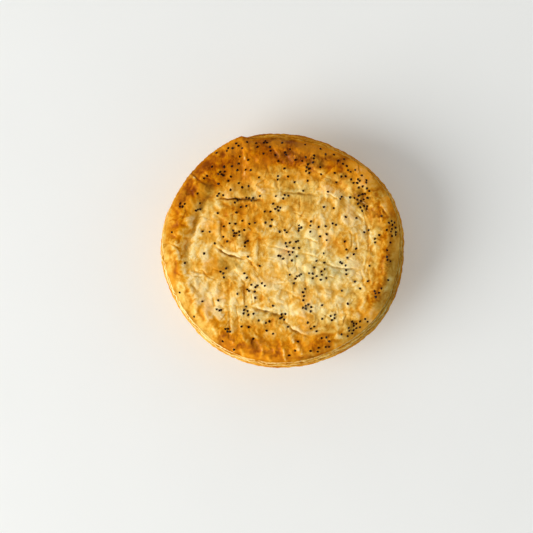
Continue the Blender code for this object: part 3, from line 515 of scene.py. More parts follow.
def fold_heights(x, y, fold_x, fold_y):
    """Height of all the folds at fold_x, fold_y, how much shade is painted in their grooves, and how pale
    their lips.
    """
    uneven = 1 + 0.6 * lattice_noise(x, y, 3.6, 51)
    broken = smooth_step(0.6 + 1.5 * lattice_noise(x, y, 2.2, 52))
    height, groove, lip = np.zeros((3, len(x)))
    for fold in (*FOLDS.values(), *FLAKES, *short_tears()):
        near = np.hypot(x - (fold[0] + fold[2]) / 2, y - (fold[1] + fold[3]) / 2) < fold_reach(fold)
        lift, inside, edge = fold_relief(fold_x[near], fold_y[near], fold, 1.5 if fold[5] > 0 else 1.0)
        height[near] += lift * uneven[near]
        groove[near] = np.maximum(groove[near], inside * uneven[near])
        lip[near] = np.maximum(lip[near], edge * broken[near])
    return height, groove, lip


def sheet_heights(x, y, rim):
    """Height of the torn sheets, how pale their edges are, and how much browner they are."""
    height, lip, browner = np.zeros((3, len(x)))
    for number, (size, torn, thick) in enumerate(TORN_SHEETS):
        inside = torn_sheet(x, y, size, torn, 60 + 10 * number)
        on = smooth_step(0.5 + inside / 0.6)
        lifted = smooth_step(lattice_noise(x, y, 9.0, 90 + number) * 2.0)
        sheet = on * np.exp(-np.maximum(inside, 0) / 4) * (0.5 + lifted)
        height += thick * (sheet - 0.3 * lifted * bell(inside + 0.4, 0.4))
        lip = np.maximum(lip, 0.25 * lifted * (1 - 0.8 * rim) * bell(inside - 0.3, 0.6))
        browner += SHEET_TONE * (on - 0.5)
    return height, lip, browner


def puff_heights(x, y, aside, ahead, calm):
    """Height of the rounded puffs with creases between them."""
    height = np.zeros(len(x))
    for number, (size, rise) in enumerate(PUFFS):
        puff = np.abs(lattice_noise(x + aside, y + ahead, size, 115 + number))
        strength = 1 + 0.7 * lattice_noise(x, y, 15.0, 118 + number)
        height += rise * (0.3 + 0.7 * calm) * strength * (np.sqrt(puff**2 + 0.006) - 0.3)
    return height


def grain_heights(x, y, fold_x, fold_y, rim):
    """Height of the folds and wrinkles in the grain of the dough, at fold_x, fold_y."""
    swayed = fold_x + 4.0 * lattice_noise(x, y, 22.0, 108)
    patch = smooth_step(lattice_noise(x, y, 12.0, 140) * 1.5 + 0.45)
    height = np.zeros(len(x))
    for number, (width, length, rise) in enumerate(ROLLED_FOLDS):
        roll = lattice_noise(swayed, fold_y * width / length, width, 110 + number)
        crested = 0.75 - 2.0 * np.sqrt(roll**2 + 0.01)
        height += rise * (roll * (1 - 0.5 * rim) + 0.5 * rim * crested)
    for number, (width, length, rise) in enumerate(WRINKLES):
        wrinkle = np.abs(lattice_noise(swayed, fold_y * width / length, width, 120 + number))
        height += rise * (0.25 + 0.75 * patch) * (0.3 - np.sqrt(wrinkle**2 + 0.004))
    return height


def lid_surface(x, y):
    """The lid at points x, y: height, and what its colour is made from, as a dict of arrays."""
    degrees, radius = np.degrees(np.arctan2(y, x)), np.hypot(x, y)
    share, arc = radius / lid_radius(degrees), np.radians(degrees) * 50
    calm, rim = 1 - smooth_step((share - 0.9) / 0.1), on_rim(share)
    even = 0.35 + 0.65 * calm  # how much of the fine relief is left
    broad = broad_height(degrees, share)
    height = broad.copy()
    for bx, by, half_width, half_depth, rise in (*BLISTERS, *LOW_BLISTERS):
        height += rise * np.exp(-(((x - bx) / half_width) ** 2) - ((y - by) / half_depth) ** 2)
    for draw, (size, rise) in enumerate(SWELLINGS):
        height += rise * calm * lattice_noise(x, y, size, draw)

    aside, ahead = stray(x, y, 31), stray(x, y, 41)
    fold_x, fold_y = x + 0.5 * aside, y + 0.5 * ahead
    folds, groove, lip = fold_heights(x, y, fold_x, fold_y)
    sheets, torn_edge, browner = sheet_heights(x, y, rim)
    height += folds + calm * sheets + puff_heights(x, y, aside, ahead, calm)
    height += even * grain_heights(x, y, fold_x, fold_y, rim)

    creased = bell(angle_gap(degrees, CREASES_AT), CREASES_SPREAD) * bell(share - 0.75, 0.08)
    crease = np.abs(lattice_noise(radius + 0.5 * aside, arc / 4, 1.7, 130))
    height += CREASES_RISE * creased * (0.35 - np.sqrt(crease**2 + 0.004))
    # Pale crests of the rim's thin creases, a painted highlight
    lip = np.clip(np.maximum(np.maximum(lip, torn_edge), 0.55 * creased * bell(crease, 0.09)), 0, 1)

    along = (radius + 2 * ahead) * STREAK_WIDTH / STREAK_LENGTH
    flake = np.abs(lattice_noise(1.2 * arc + 2.5 * aside, along, STREAK_WIDTH, 135))
    streak = smooth_step((share - 0.80) / 0.08) * smooth_step(0.45 + 1.2 * lattice_noise(x, y, 6.0, 136))
    streak *= 0.33 - np.sqrt(flake**2 + 0.006)
    height += STREAK_RISE * even * streak
    for bx, by, size in small_blisters():
        near = np.abs(x - bx) + np.abs(y - by) < 4 * size
        height[near] += BLISTER_RISE * size * calm[near] * bell(np.hypot(x[near] - bx, y[near] - by), size)

    detail = height - broad
    height += smooth_step((share - 0.965) / 0.035) * (edge_height(degrees) - height)
    outer = smooth_step((share - 0.88) / 0.08)
    # Painted shade: the outermost band by angle, and the listed shaded places
    dull = np.clip(EDGE_SHADE * outer * by_angle(degrees, SHADE_BY_ANGLE) + patches(x, y, SHADE_PATCHES), 0, 1)
    return height, dict(
        share=share, degrees=degrees, detail=detail, groove=groove, lip=lip, browner=browner, dull=dull,
        outer=outer, streak=streak,
    )  # fmt: skip


def blurred(grid, rounds):
    """A square array smoothed over its neighbours."""
    for _ in range(rounds):
        wide = np.pad(grid, 1, mode="edge")
        grid = (wide[:-2, 1:-1] + wide[2:, 1:-1] + wide[1:-1, :-2] + wide[1:-1, 2:] + grid) / 5
    return grid


def patches(x, y, table):
    """The sum of a table's patches at x, y, each with a ragged outline."""
    ragged_x = x + 1.3 * lattice_noise(x, y, 4.0, 220) + 0.7 * lattice_noise(x, y, 1.7, 221)
    ragged_y = y + 1.3 * lattice_noise(x, y, 4.0, 222) + 0.7 * lattice_noise(x, y, 1.7, 223)
    total = np.zeros_like(x)
    for middle_x, middle_y, half_width, half_depth, amount in table:
        out = np.hypot((ragged_x - middle_x) / half_width, (ragged_y - middle_y) / half_depth)
        total += amount * smooth_step((1.45 - out) / 0.9)
    return total


def lid_bake(x, y, parts, grid_shape):
    """How brown the lid is at each point, from 0 to 1."""
    share, degrees = parts["share"], parts["degrees"]
    rim, start = by_angle(degrees, RIM_BAKE), by_angle(degrees, BROWN_FROM)
    ragged = share + 0.05 * lattice_noise(x, y, 6.0, 190) + 0.03 * lattice_noise(x, y, 2.5, 191)
    bake = DOME_BAKE + (rim - DOME_BAKE) * smooth_step((ragged - start) / (0.90 - start))
    bake += patches(x, y, BAKE_PATCHES)
    # Painted light: crests paler, as highlight, and hollows browner, as shade, at two sizes
    level = parts["detail"].reshape(grid_shape)
    relief, fine = ((level - blurred(level, rounds)).ravel() for rounds in (60, 8))
    bake -= (0.05 + 0.07 * on_rim(share)) * np.clip(relief / 0.3, -1.5, 1.5)
    bake -= 0.055 * np.clip(fine / 0.06, -1.5, 1.5)
    broad, small = rough_noise(x, y, 9.0, 200), rough_noise(x, y * 0.6, 3.2, 210)
    bake += 0.10 * broad + 0.04 * (smooth_step(0.5 + 1.2 * small) - 0.5)
    # Sheets browner; the rim's flake crests painted paler as highlight, their creases browner as shade
    bake += parts["browner"] - STREAK_PALE * parts["streak"]
    bake -= 0.2 * bell(angle_gap(degrees, 150), 40) * smooth_step((share - 0.972) / 0.02)
    return np.clip(bake, 0, 1)


# ================================================================ meshes


def piece(name, vertices, faces, material, attributes=None):
    """A smooth object from vertices in millimetres, with a number on each vertex for every attribute."""
    mesh = bpy.data.meshes.new(name)
    mesh.from_pydata((np.asarray(vertices) * MM).tolist(), [], faces)
    for label, values in (attributes or {}).items():
        layer = mesh.attributes.new(label, "FLOAT", "POINT")
        layer.data.foreach_set("value", np.asarray(values, dtype=np.float32))
    mesh.materials.append(material)
    mesh.shade_smooth()
    obj = bpy.data.objects.new(name, mesh)
    bpy.context.scene.collection.objects.link(obj)
    return obj


def disc_grid(steps):
    """A square grid bent into a disc: share of the way out, angle, faces and outer loop."""
    line = np.linspace(-1, 1, steps + 1)
    u, v = np.meshgrid(line, line, indexing="ij")
    wide = np.abs(u) >= np.abs(v)
    safe_u, safe_v = np.where(u == 0, 1, u), np.where(v == 0, 1, v)
    share = np.where(wide, u, v)
    angle = np.where(wide, math.pi / 4 * v / safe_u, math.pi / 2 - math.pi / 4 * u / safe_v)
    angle = np.where(share < 0, angle + math.pi, angle)
    index = np.arange((steps + 1) ** 2).reshape(steps + 1, steps + 1)
    corners = np.stack((index[:-1, :-1], index[1:, :-1], index[1:, 1:], index[:-1, 1:]), axis=-1)
    loop = np.concatenate((index[-1, :-1], index[::-1, -1][:-1], index[0, ::-1][:-1], index[:, 0][:-1]))
    return np.abs(share).ravel(), np.degrees(angle).ravel(), corners.reshape(-1, 4), loop


def ring_faces(count, rows, first=0):
    """Faces between rows of count points each, the rows lying one after another from index first."""
    here = first + np.arange(count * (rows - 1)).reshape(rows - 1, count)
    ahead = np.roll(here, -1, axis=1)
    return np.stack((here, here + count, ahead + count, ahead), axis=-1).reshape(-1, 4)


def ring(radius, level, degrees):
    a = np.radians(degrees)
    return np.column_stack((radius * np.cos(a), radius * np.sin(a), level + 0 * a))


def rounded(points, rounds):
    """A profile with its corners cut: points is an array of rows, each a radius and a height by angle."""
    for _ in range(rounds):
        near, far = points[:-1], points[1:]
        cut = np.empty((2 * len(near), *points.shape[1:]))
        cut[0::2], cut[1::2] = 0.75 * near + 0.25 * far, 0.25 * near + 0.75 * far
        points = np.concatenate((points[:1], cut, points[-1:]))
    return points


def make_lid(material, shift):
    """The lid's browned top, with the edge where it turns down to the layers and back under."""
    share, degrees, faces, loop = disc_grid(LID_GRID)
    ragged = 0.24 * lattice_noise(degrees * 1.05, 0 * degrees, 2.6, 300)
    ragged += 0.14 * lattice_noise(degrees * 1.05, 0 * degrees, 1.1, 301)
    radius = share * lid_radius(degrees) + ragged * smooth_step((share - 0.95) / 0.05)
    a = np.radians(degrees)
    x, y = radius * np.cos(a), radius * np.sin(a)
    height, parts = lid_surface(x, y)
    bake = lid_bake(x, y, parts, (LID_GRID + 1, LID_GRID + 1))
    raw = patches(x, y, RAW_PATCHES) * (0.75 + 0.5 * lattice_noise(x, y, 3.0, 230))
    # The edge's paleness by angle is partly painted sheen and shade
    raw += DOME_RAW * (1 - smooth_step((share - 0.66) / 0.14)) + parts["outer"] * by_angle(degrees, PALE_EDGE)
    # Bright orange places, partly painted light
    raw, golden = np.clip(raw, 0, 1), np.clip(patches(x, y, GOLDEN_PATCHES), 0, 1)

    rows = [np.column_stack((x, y, height))]
    for out, down, _ in EDGE_ROWS:
        rows.append(ring(radius[loop] + out, height[loop] - down, degrees[loop]))
    vertices = np.vstack(rows)
    vertices[:, :2] += shift
    top, count = len(x), len(loop)
    below = top + np.arange(count)
    joined = np.stack((loop, below, np.roll(below, -1), np.roll(loop, -1)), axis=-1)
    faces = np.vstack((faces, joined, ring_faces(count, len(EDGE_ROWS), top))).tolist()

    def with_edge(on_top, on_edge):
        """Each vertex's number: those on top, then the same ones for every row of the edge."""
        return np.concatenate((on_top, np.tile(on_edge, len(EDGE_ROWS))))

    zero = np.zeros(count)
    attributes = {
        "bake": np.concatenate((bake, *(np.clip(bake[loop] + change, 0, 1) for _, _, change in EDGE_ROWS))),
        "raw": with_edge(raw, raw[loop]),
        "groove": with_edge(parts["groove"], zero),
        "lip": with_edge(parts["lip"], zero),
        # painted shade on the edge, by angle
        "dull": with_edge(parts["dull"], EDGE_SHADE * by_angle(degrees[loop], SHADE_BY_ANGLE)),
        "golden": with_edge(golden, golden[loop]),
        "gloss": with_edge(1 - 0.9 * parts["outer"], zero),
    }
    return piece("pastry_lid", vertices, faces, material, attributes)


def make_layers(material, shift):
    """The lid's thin layers, showing at its side between the browned top and the case's rim."""
    count = ROUND_STEPS
    degrees = np.arange(count) * 360 / count
    flat = np.zeros(count)
    rim, lid, top = rim_radius(degrees), lid_radius(degrees), edge_height(degrees)
    rim_top = RIM_HEIGHT + RIM_THICK
    # From the lid's edge down to the case's rim
    out = np.minimum(lid + 0.55 * (rim - lid), rim - 0.5)
    levels = np.stack((top - 0.35, 0.55 * top + 0.45 * rim_top, rim_top + 0.7 + flat, rim_top + 0.1 + flat))
    reach = np.stack((lid - 0.2, out, rim - 1.2, rim - 1.7))
    rows, tone, pale, gap = [], [], [], []
    arc = degrees * 1.05
    browner = by_angle(degrees, LAYER_BAKE)

    def waves(size, draw, apart=0.0, noise=lattice_noise):
        return noise(arc, apart + flat, size, draw)

    def joint(number):
        """Share of the way down at which one layer ends and the next begins."""
        if number in (0, LAYERS):
            return number / LAYERS + flat
        return (number + 0.42 * waves(9.0, 350 + 5 * number, 5.1 * number, rough_noise)) / LAYERS

    def at(share):
        """Radius and level at this share of the way down."""
        place = np.clip(share, 0, 1) * 3
        low = np.minimum(place.astype(int), 2)
        part, each = place - low, np.arange(count)
        radius = reach[low, each] * (1 - part) + reach[low + 1, each] * part
        return radius, levels[low, each] * (1 - part) + levels[low + 1, each] * part

    def add(row, colour, paleness, shadow):
        rows.append(row)
        tone.append(np.clip(colour + flat, 0, 1))
        pale.append(np.clip(paleness * (1 - 1.4 * browner), 0, 1))
        gap.append(shadow + flat)

    heave = 0.35 * waves(13.0, 305)
    add(ring(lid - 3.5, top - 0.6, degrees), 0.2, 0, 0)
    for layer in range(LAYERS):
        stray_out = 0.55 * waves(7.0, 310 + layer, 7.3 * layer) + 0.35 * waves(1.7, 320 + layer)
        wavy = 0.12 * waves(2.2, 330 + layer, 3.1 * layer)
        shade = browner + 0.22 * waves(5.0, 340 + 3 * layer, 2.7 * layer, rough_noise)
        opened = smooth_step(0.55 + 1.4 * waves(3.5, 370 + layer, 4.9 * layer))
        opened *= np.minimum(1, 0.1 + 1.9 * browner)
        top_joint, next_joint = joint(layer), joint(layer + 1)
        for share, inward, colour, paleness, shadow in LAYER_ROWS:
            radius, level = at(top_joint + share * (next_joint - top_joint))
            out = np.minimum(radius + stray_out, rim - 0.3) - inward * (0.25 + 0.75 * opened)
            add(ring(out, level + wavy + heave, degrees), shade + colour, paleness, shadow * opened)
    add(ring(rim - 5.0, rim_top - 0.2, degrees), 0.3, 0, 0)
    vertices = np.vstack(rows)
    vertices[:, :2] += shift
    zero = np.zeros(len(vertices))
    attributes = {
        "bake": np.concatenate(tone),
        "raw": zero + LAYER_RAW,
        "groove": np.concatenate(gap),
        "lip": np.concatenate(pale),
        # painted shade on the layers, by angle
        "dull": np.tile(by_angle(degrees, SHADE_BY_ANGLE), len(rows)),
        "gloss": zero,
    }
    return piece("lid_layers", vertices, ring_faces(count, len(rows)).tolist(), material, attributes)


def make_case(material, shift):
    """The case: its rim, the tapered wall and the flat that it stands on."""
    count = CASE_STEPS
    degrees = np.arange(count) * 360 / count
    a, flat = np.radians(degrees), np.zeros(count)
    rim = rim_radius(degrees)
    rough = 0.35 * np.sin(11 * a + 1.0) + 0.25 * np.sin(17 * a)
    rim_top, wall_top = RIM_HEIGHT + RIM_THICK, rim - 3.4
    profile = [
        (rim - 6.0, rim_top - 0.4 + flat),
        (rim - 2.1, rim_top + 0.1 + flat),
        (rim - 0.5, rim_top - 0.5 + 0.3 * rough),
        (rim, RIM_HEIGHT + 0.45 * RIM_THICK + 0.2 * rough),
        (rim - 0.7, RIM_HEIGHT + flat),
        (wall_top, RIM_HEIGHT - 0.6 + flat),
    ]
    for share, swell in ((0.12, 0.15), (0.36, 0.35), (0.70, 0.2), (0.95, 0.0)):
        wall = wall_top + share * (BASE_WIDTH / 2 - wall_top)
        profile.append((wall + swell + 0.3 * rough * (1 - share), RIM_HEIGHT * (1 - share) + flat))
    profile += [(share * FLAT_WIDTH / 2 + flat, flat) for share in (1, 0.8, 0.4, 0.15)]
    # More rows where the cut corners leave long faces
    corners = rounded(np.array(profile), 2)
    rows = [corners[0]]
    for near, far in zip(corners[:-1], corners[1:]):
        steps = max(1, math.ceil(math.hypot(*(far - near).mean(axis=1)) / 0.6)) if near[1].mean() > 0.5 else 1
        rows += [near + (far - near) * (n + 1) / steps for n in range(steps)]
    rows = np.array(rows)
    radius, level = rows[:, 0], rows[:, 1]
    arc = np.broadcast_to(a * 50, radius.shape)
    along = np.cumsum(np.hypot(*np.diff(rows, axis=0, prepend=rows[:1]).mean(axis=2).T))[:, None] + 0 * arc
    near_rim = bell(level - (RIM_HEIGHT + 1.0), 2.0)
    flaky = 0.35 - np.abs(lattice_noise(arc / 3, along, 1.0, 404))
    drawn_out = lattice_noise(arc, along / 7, 2.6, 402)
    lift = 0.16 * lattice_noise(arc, along, 5.0, 400) + 0.08 * lattice_noise(arc, along, 1.6, 401)
    lift += 0.12 * drawn_out + near_rim * (0.2 * flaky + 0.2 * lattice_noise(arc, along, 2.5, 403))
    lift -= 0.14 * smooth_step(np.abs(lattice_noise(arc, along, 3.0, 405)) * 2 - 0.5)
    radius = radius + lift * smooth_step((level - 0.3) / 0.6)
    bake = 0.30 + 0.22 * rough_noise(arc, along, 11.0, 410) + 0.10 * rough_noise(arc, along, 3.0, 420)
    bake += 0.05 * drawn_out + 0.08 * bell(level - 24.5, 1.5) + 0.14 * bell(level, 3.5)
    bake += (by_angle(degrees, LAYER_BAKE) - 0.18) * near_rim
    vertices = np.column_stack(((radius * np.cos(a)).ravel(), (radius * np.sin(a)).ravel(), level.ravel()))
    vertices = np.vstack((vertices, (0, 0, 0)))
    vertices[:, :2] += shift
    faces = ring_faces(count, len(rows)).tolist()
    last, centre = (len(rows) - 1) * count, len(rows) * count
    faces += [(last + n, centre, last + (n + 1) % count) for n in range(count)]
    zero = np.zeros(len(vertices))
    attributes = {
        "bake": np.append(np.clip(bake, 0, 1).ravel(), 0.45),
        "raw": np.append((WALL_RAW * (1 - 0.6 * near_rim)).ravel(), WALL_RAW),
        "groove": zero,
        "lip": zero,
        # painted shade on the case's rim, by angle
        "dull": np.append((0.8 * near_rim * by_angle(degrees, SHADE_BY_ANGLE)).ravel(), 0),
        "gloss": zero + 0.1,
    }
    return piece("pastry_case", vertices, faces, material, attributes)


# ================================================================ poppy seeds


def seed_places():
    """x, y, size and turn of every seed, the largest first, by the rule that the solid's seeds follow."""
    draw = np.random.default_rng(SEED_DRAW)
    seats = [clump[:3] for clump in SEED_CLUMPS for _ in range(clump[3])]
    seats += [(0, 0, 0)] * (SEED_COUNT - len(seats))
    placed = []
    for number, seat in enumerate(draw.permutation(SEED_COUNT)):
        gap = WIDE_GAP if number < FUSED_SEEDS else CLOSE_GAP
        placed.append(seed_place(draw, seats[seat], gap, placed))
    size = np.sort(draw.normal(1.0, 0.07, SEED_COUNT).clip(0.82, 1.18))[::-1]
    turn = draw.uniform(0, 2 * math.pi, SEED_COUNT)
    return np.column_stack((placed, size, turn))


def seed_place(draw, seat, gap, placed):
    """A free place for one seed: near its clump's middle, or anywhere if its seat is in no clump."""
    x, y, spread = seat
    while True:
        if spread:
            point = (x, y) + spread * draw.normal(size=2)
            spread *= 1.03
            wanted = True
        else:
            radius, degrees = PIE_WIDTH / 2 * math.sqrt(draw.random()), 360 * draw.random()
            thin = math.exp(-((angle_gap(degrees, SPARSE_ANGLE) / 60) ** 2)) * radius / (PIE_WIDTH / 2)
            point = radius * np.array((math.cos(math.radians(degrees)), math.sin(math.radians(degrees))))
            wanted = draw.random() < 1 - (1 - SPARSE_SHARE) * thin
        edge = lid_radius(math.degrees(math.atan2(point[1], point[0]))) - 1.5
        clear = all(math.hypot(point[0] - p[0], point[1] - p[1]) > gap for p in placed)
        if wanted and clear and math.hypot(*point) < edge:
            return point[0], point[1]


def seed_shape():
    """One poppy seed: a plump kidney of a few dozen faces."""
    bm = bmesh.new()
    bmesh.ops.create_uvsphere(bm, u_segments=8, v_segments=6, radius=0.5)
    for vertex in bm.verts:
        vertex.co.y -= 0.16 * (1 - (2 * vertex.co.x) ** 2)
        vertex.co.z *= 1 - 0.25 * vertex.co.x
    bm.transform(Matrix.Diagonal((SEED_LENGTH * MM, SEED_BREADTH * MM, SEED_THICK * MM, 1)))
    mesh = bpy.data.meshes.new("seed shape")
    bm.to_mesh(mesh)
    bm.free()
    mesh.shade_smooth()
    return bpy.data.objects.new("seed shape", mesh)


def strewn(name, spots, shape, material):
    """One plain mesh of copies of shape, by Geometry Nodes. A spot is a place, a turn, a size and a tone."""
    mesh = bpy.data.meshes.new(name)
    mesh.from_pydata([tuple(place) for place, _, _, _ in spots], [], [])
    turns = mesh.attributes.new("turn", "FLOAT_VECTOR", "POINT")
    turns.data.foreach_set("vector", [value for _, turn, _, _ in spots for value in turn])
    for label, which in (("size", 2), ("tone", 3)):
        layer = mesh.attributes.new(label, "FLOAT", "POINT")
        layer.data.foreach_set("value", [spot[which] for spot in spots])
    obj = bpy.data.objects.new(name, mesh)
    bpy.context.scene.collection.objects.link(obj)

    tree = bpy.data.node_groups.new(f"{name} strewn", "GeometryNodeTree")
    tree.interface.new_socket("Geometry", in_out="INPUT", socket_type="NodeSocketGeometry")
    shape_input = tree.interface.new_socket("Shape", in_out="INPUT", socket_type="NodeSocketObject")
    size_input = tree.interface.new_socket("Overall size", in_out="INPUT", socket_type="NodeSocketFloat")
    tree.interface.new_socket("Geometry", in_out="OUTPUT", socket_type="NodeSocketGeometry")
    nodes, links = tree.nodes, tree.links
    start, end = nodes.new("NodeGroupInput"), nodes.new("NodeGroupOutput")

    def named(label, kind):
        node = nodes.new("GeometryNodeInputNamedAttribute")
        node.data_type = kind
        node.inputs["Name"].default_value = label
        return node.outputs["Attribute"]

    info = nodes.new("GeometryNodeObjectInfo")
    links.new(start.outputs["Shape"], info.inputs["Object"])
    grown = nodes.new("ShaderNodeMath")
    grown.operation = "MULTIPLY"
    links.new(named("size", "FLOAT"), grown.inputs[0])
    links.new(start.outputs["Overall size"], grown.inputs[1])
    place = nodes.new("GeometryNodeInstanceOnPoints")
    links.new(start.outputs["Geometry"], place.inputs["Points"])
    links.new(info.outputs["Geometry"], place.inputs["Instance"])
    links.new(named("turn", "FLOAT_VECTOR"), place.inputs["Rotation"])
    links.new(grown.outputs[0], place.inputs["Scale"])
    real = nodes.new("GeometryNodeRealizeInstances")
    links.new(place.outputs["Instances"], real.inputs["Geometry"])
    finish = nodes.new("GeometryNodeSetMaterial")
    finish.inputs["Material"].default_value = material
    links.new(real.outputs["Geometry"], finish.inputs["Geometry"])
    links.new(finish.outputs["Geometry"], end.inputs["Geometry"])

    modifier = obj.modifiers.new("strewn", "NODES")
    modifier.node_group = tree
    modifier[shape_input.identifier] = shape
    modifier[size_input.identifier] = 1.0
    bpy.context.view_layer.update()
    graph = bpy.context.evaluated_depsgraph_get()
    made = bpy.data.meshes.new_from_object(obj.evaluated_get(graph))
    obj.modifiers.clear()
    obj.data = made
    bpy.data.objects.remove(shape)
    return obj


def make_seeds(material, surface, shift):
    """Every seed, lying on the lid at its place."""
    draw = np.random.default_rng(TONE_DRAW)
    spots = []
    for x, y, size, turn in seed_places():
        above = Vector((x + shift[0], y + shift[1], DROPPED_FROM)) * MM
        point, normal, _, _ = surface.ray_cast(above, Vector((0, 0, -1)))
        lying = normal.to_track_quat("Z", "Y").to_matrix() @ Matrix.Rotation(turn, 3, "Z")
        spots.append((point + SEED_LIFT * MM * normal, lying.to_euler(), size, draw.random()))
    return strewn("poppy_seeds", spots, seed_shape(), material)


# ================================================================ materials


class Number:
    """A shader socket holding a number, for use in Python sums: each operator adds a Math node."""

    def __init__(self, maker, socket):
        self.maker, self.socket = maker, socket

    def _sum(self, operation, first, second):
        made = self.maker.node("ShaderNodeMath", {"operation": operation}, {0: first, 1: second})
        return Number(self.maker, made.outputs[0])

    def __add__(self, other):
        return self._sum("ADD", self, other)

    def __sub__(self, other):
        return self._sum("SUBTRACT", self, other)

    def __rsub__(self, other):
        return self._sum("SUBTRACT", other, self)

    def __mul__(self, other):
        return self._sum("MULTIPLY", self, other)

    def __abs__(self):
        return self._sum("ABSOLUTE", self, 0)

    __radd__ = __add__
    __rmul__ = __mul__


class Finish:
    """A material under construction."""

    def __init__(self, name):
        self.material = bpy.data.materials.new(name)
        self.material.use_nodes = True
        self.tree = self.material.node_tree
        self.shader = self.tree.nodes["Principled BSDF"]
        self.here = self.node("ShaderNodeTexCoord").outputs["Object"]

    def node(self, kind, settings=None, sockets=None):
        """Any node: settings are its own properties, and sockets are values or links for its inputs."""
        made = self.tree.nodes.new(kind)
        for key, value in (settings or {}).items():
            if key == "stops":
                set_stops(made.color_ramp, value)
            else:
                setattr(made, key, value)
        for key, value in (sockets or {}).items():
            self.feed(made.inputs[key], value)
        return made

    def feed(self, socket, value):
        if isinstance(value, Number):
            value = value.socket
        if isinstance(value, bpy.types.NodeSocket):
            self.tree.links.new(value, socket)
        else:
            socket.default_value = value

    def attribute(self, name):
        return Number(self, self.node("ShaderNodeAttribute", {"attribute_name": name}).outputs["Fac"])

    def noise(self, size, detail=3.0, rough=0.55, stretch=(1, 1, 1), lean=0.0):
        """Noise whose swells are about size millimetres, from 0 to 1."""
        sockets = {"Vector": self.here, "Scale": stretch, "Rotation": (0, 0, lean)}
        place = self.node("ShaderNodeMapping", {}, sockets).outputs[0]
        sockets = {"Vector": place, "Scale": 1000 / size, "Detail": detail, "Roughness": rough}
        return Number(self, self.node("ShaderNodeTexNoise", {}, sockets).outputs["Fac"])

    def from_cell_edges(self, size):
        """How far it is to the nearest edge between cells that are about size millimetres wide."""
        settings, sockets = {"feature": "DISTANCE_TO_EDGE"}, {"Vector": self.here, "Scale": 1000 / size}
        return Number(self, self.node("ShaderNodeTexVoronoi", settings, sockets).outputs["Distance"])

    def between(self, value, low, high):
        """0 below low, 1 above high, smooth between."""
        settings, sockets = {"interpolation_type": "SMOOTHSTEP"}, {0: value, 1: low, 2: high, 3: 0.0, 4: 1.0}
        return Number(self, self.node("ShaderNodeMapRange", settings, sockets).outputs[0])

    def ramp(self, value, stops):
        return self.node("ShaderNodeValToRGB", {"stops": stops}, {0: value}).outputs[0]

    def mix(self, share, first, second, blend="MIX"):
        settings = {"data_type": "RGBA", "blend_type": blend, "clamp_factor": True}
        return self.node("ShaderNodeMix", settings, {0: share, 6: first, 7: second}).outputs[2]

    def bump(self, height, distance):
        return self.node("ShaderNodeBump", {}, {"Height": height, "Distance": distance * MM}).outputs[0]

    def set(self, **sockets):
        for key, value in sockets.items():
            self.feed(self.shader.inputs[key.replace("_", " ")], value)


def set_stops(ramp, stops):
    while len(ramp.elements) < len(stops):
        ramp.elements.new(0.5)
    for element, (position, colour) in zip(ramp.elements, stops):
        element.position = position
        element.color = colour


def seen(red, green, blue):
    """A colour given as it looks on a screen, from 0 to 255, in the linear form that shaders take."""
    linear = [((c / 255 + 0.055) / 1.055) ** 2.4 if c > 10 else c / 255 / 12.92 for c in (red, green, blue)]
    return (*linear, 1.0)


# How brown, and the colour there: for raw dough and for glazed crust
RAW_TONES = (
    (0, seen(246, 226, 158)), (0.3, seen(224, 184, 94)), (0.6, seen(190, 140, 40)), (1, seen(138, 90, 10)),
)  # fmt: skip
BAKED_TONES = (
    (0, seen(250, 216, 148)), (0.15, seen(238, 189, 97)), (0.3, seen(227, 163, 51)),
    (0.45, seen(214, 137, 10)), (0.6, seen(195, 112, 0)), (0.8, seen(166, 85, 0)), (1, seen(128, 56, 2)),
)  # fmt: skip
# Laid over the tones: pale lips, partly painted highlight; bright orange crust, partly painted light; painted
# shade in grooves
PALE_LIP_AND_HIGHLIGHT, BRIGHT_CRUST_AND_LIGHT, GROOVE_SHADE = seen(252, 226, 162), seen(255, 165, 30), seen(92, 50, 8)
SHADE_TINT = seen(183, 200, 214)  # painted shade: dulls the crust to olive where it is multiplied in
SEED_DARKEST, SEED_PALEST, SEED_RIDGES = seen(38, 4, 0), seen(56, 42, 34), seen(62, 44, 34)
FLOOR_TONES = seen(235, 236, 233), seen(238, 239, 236)


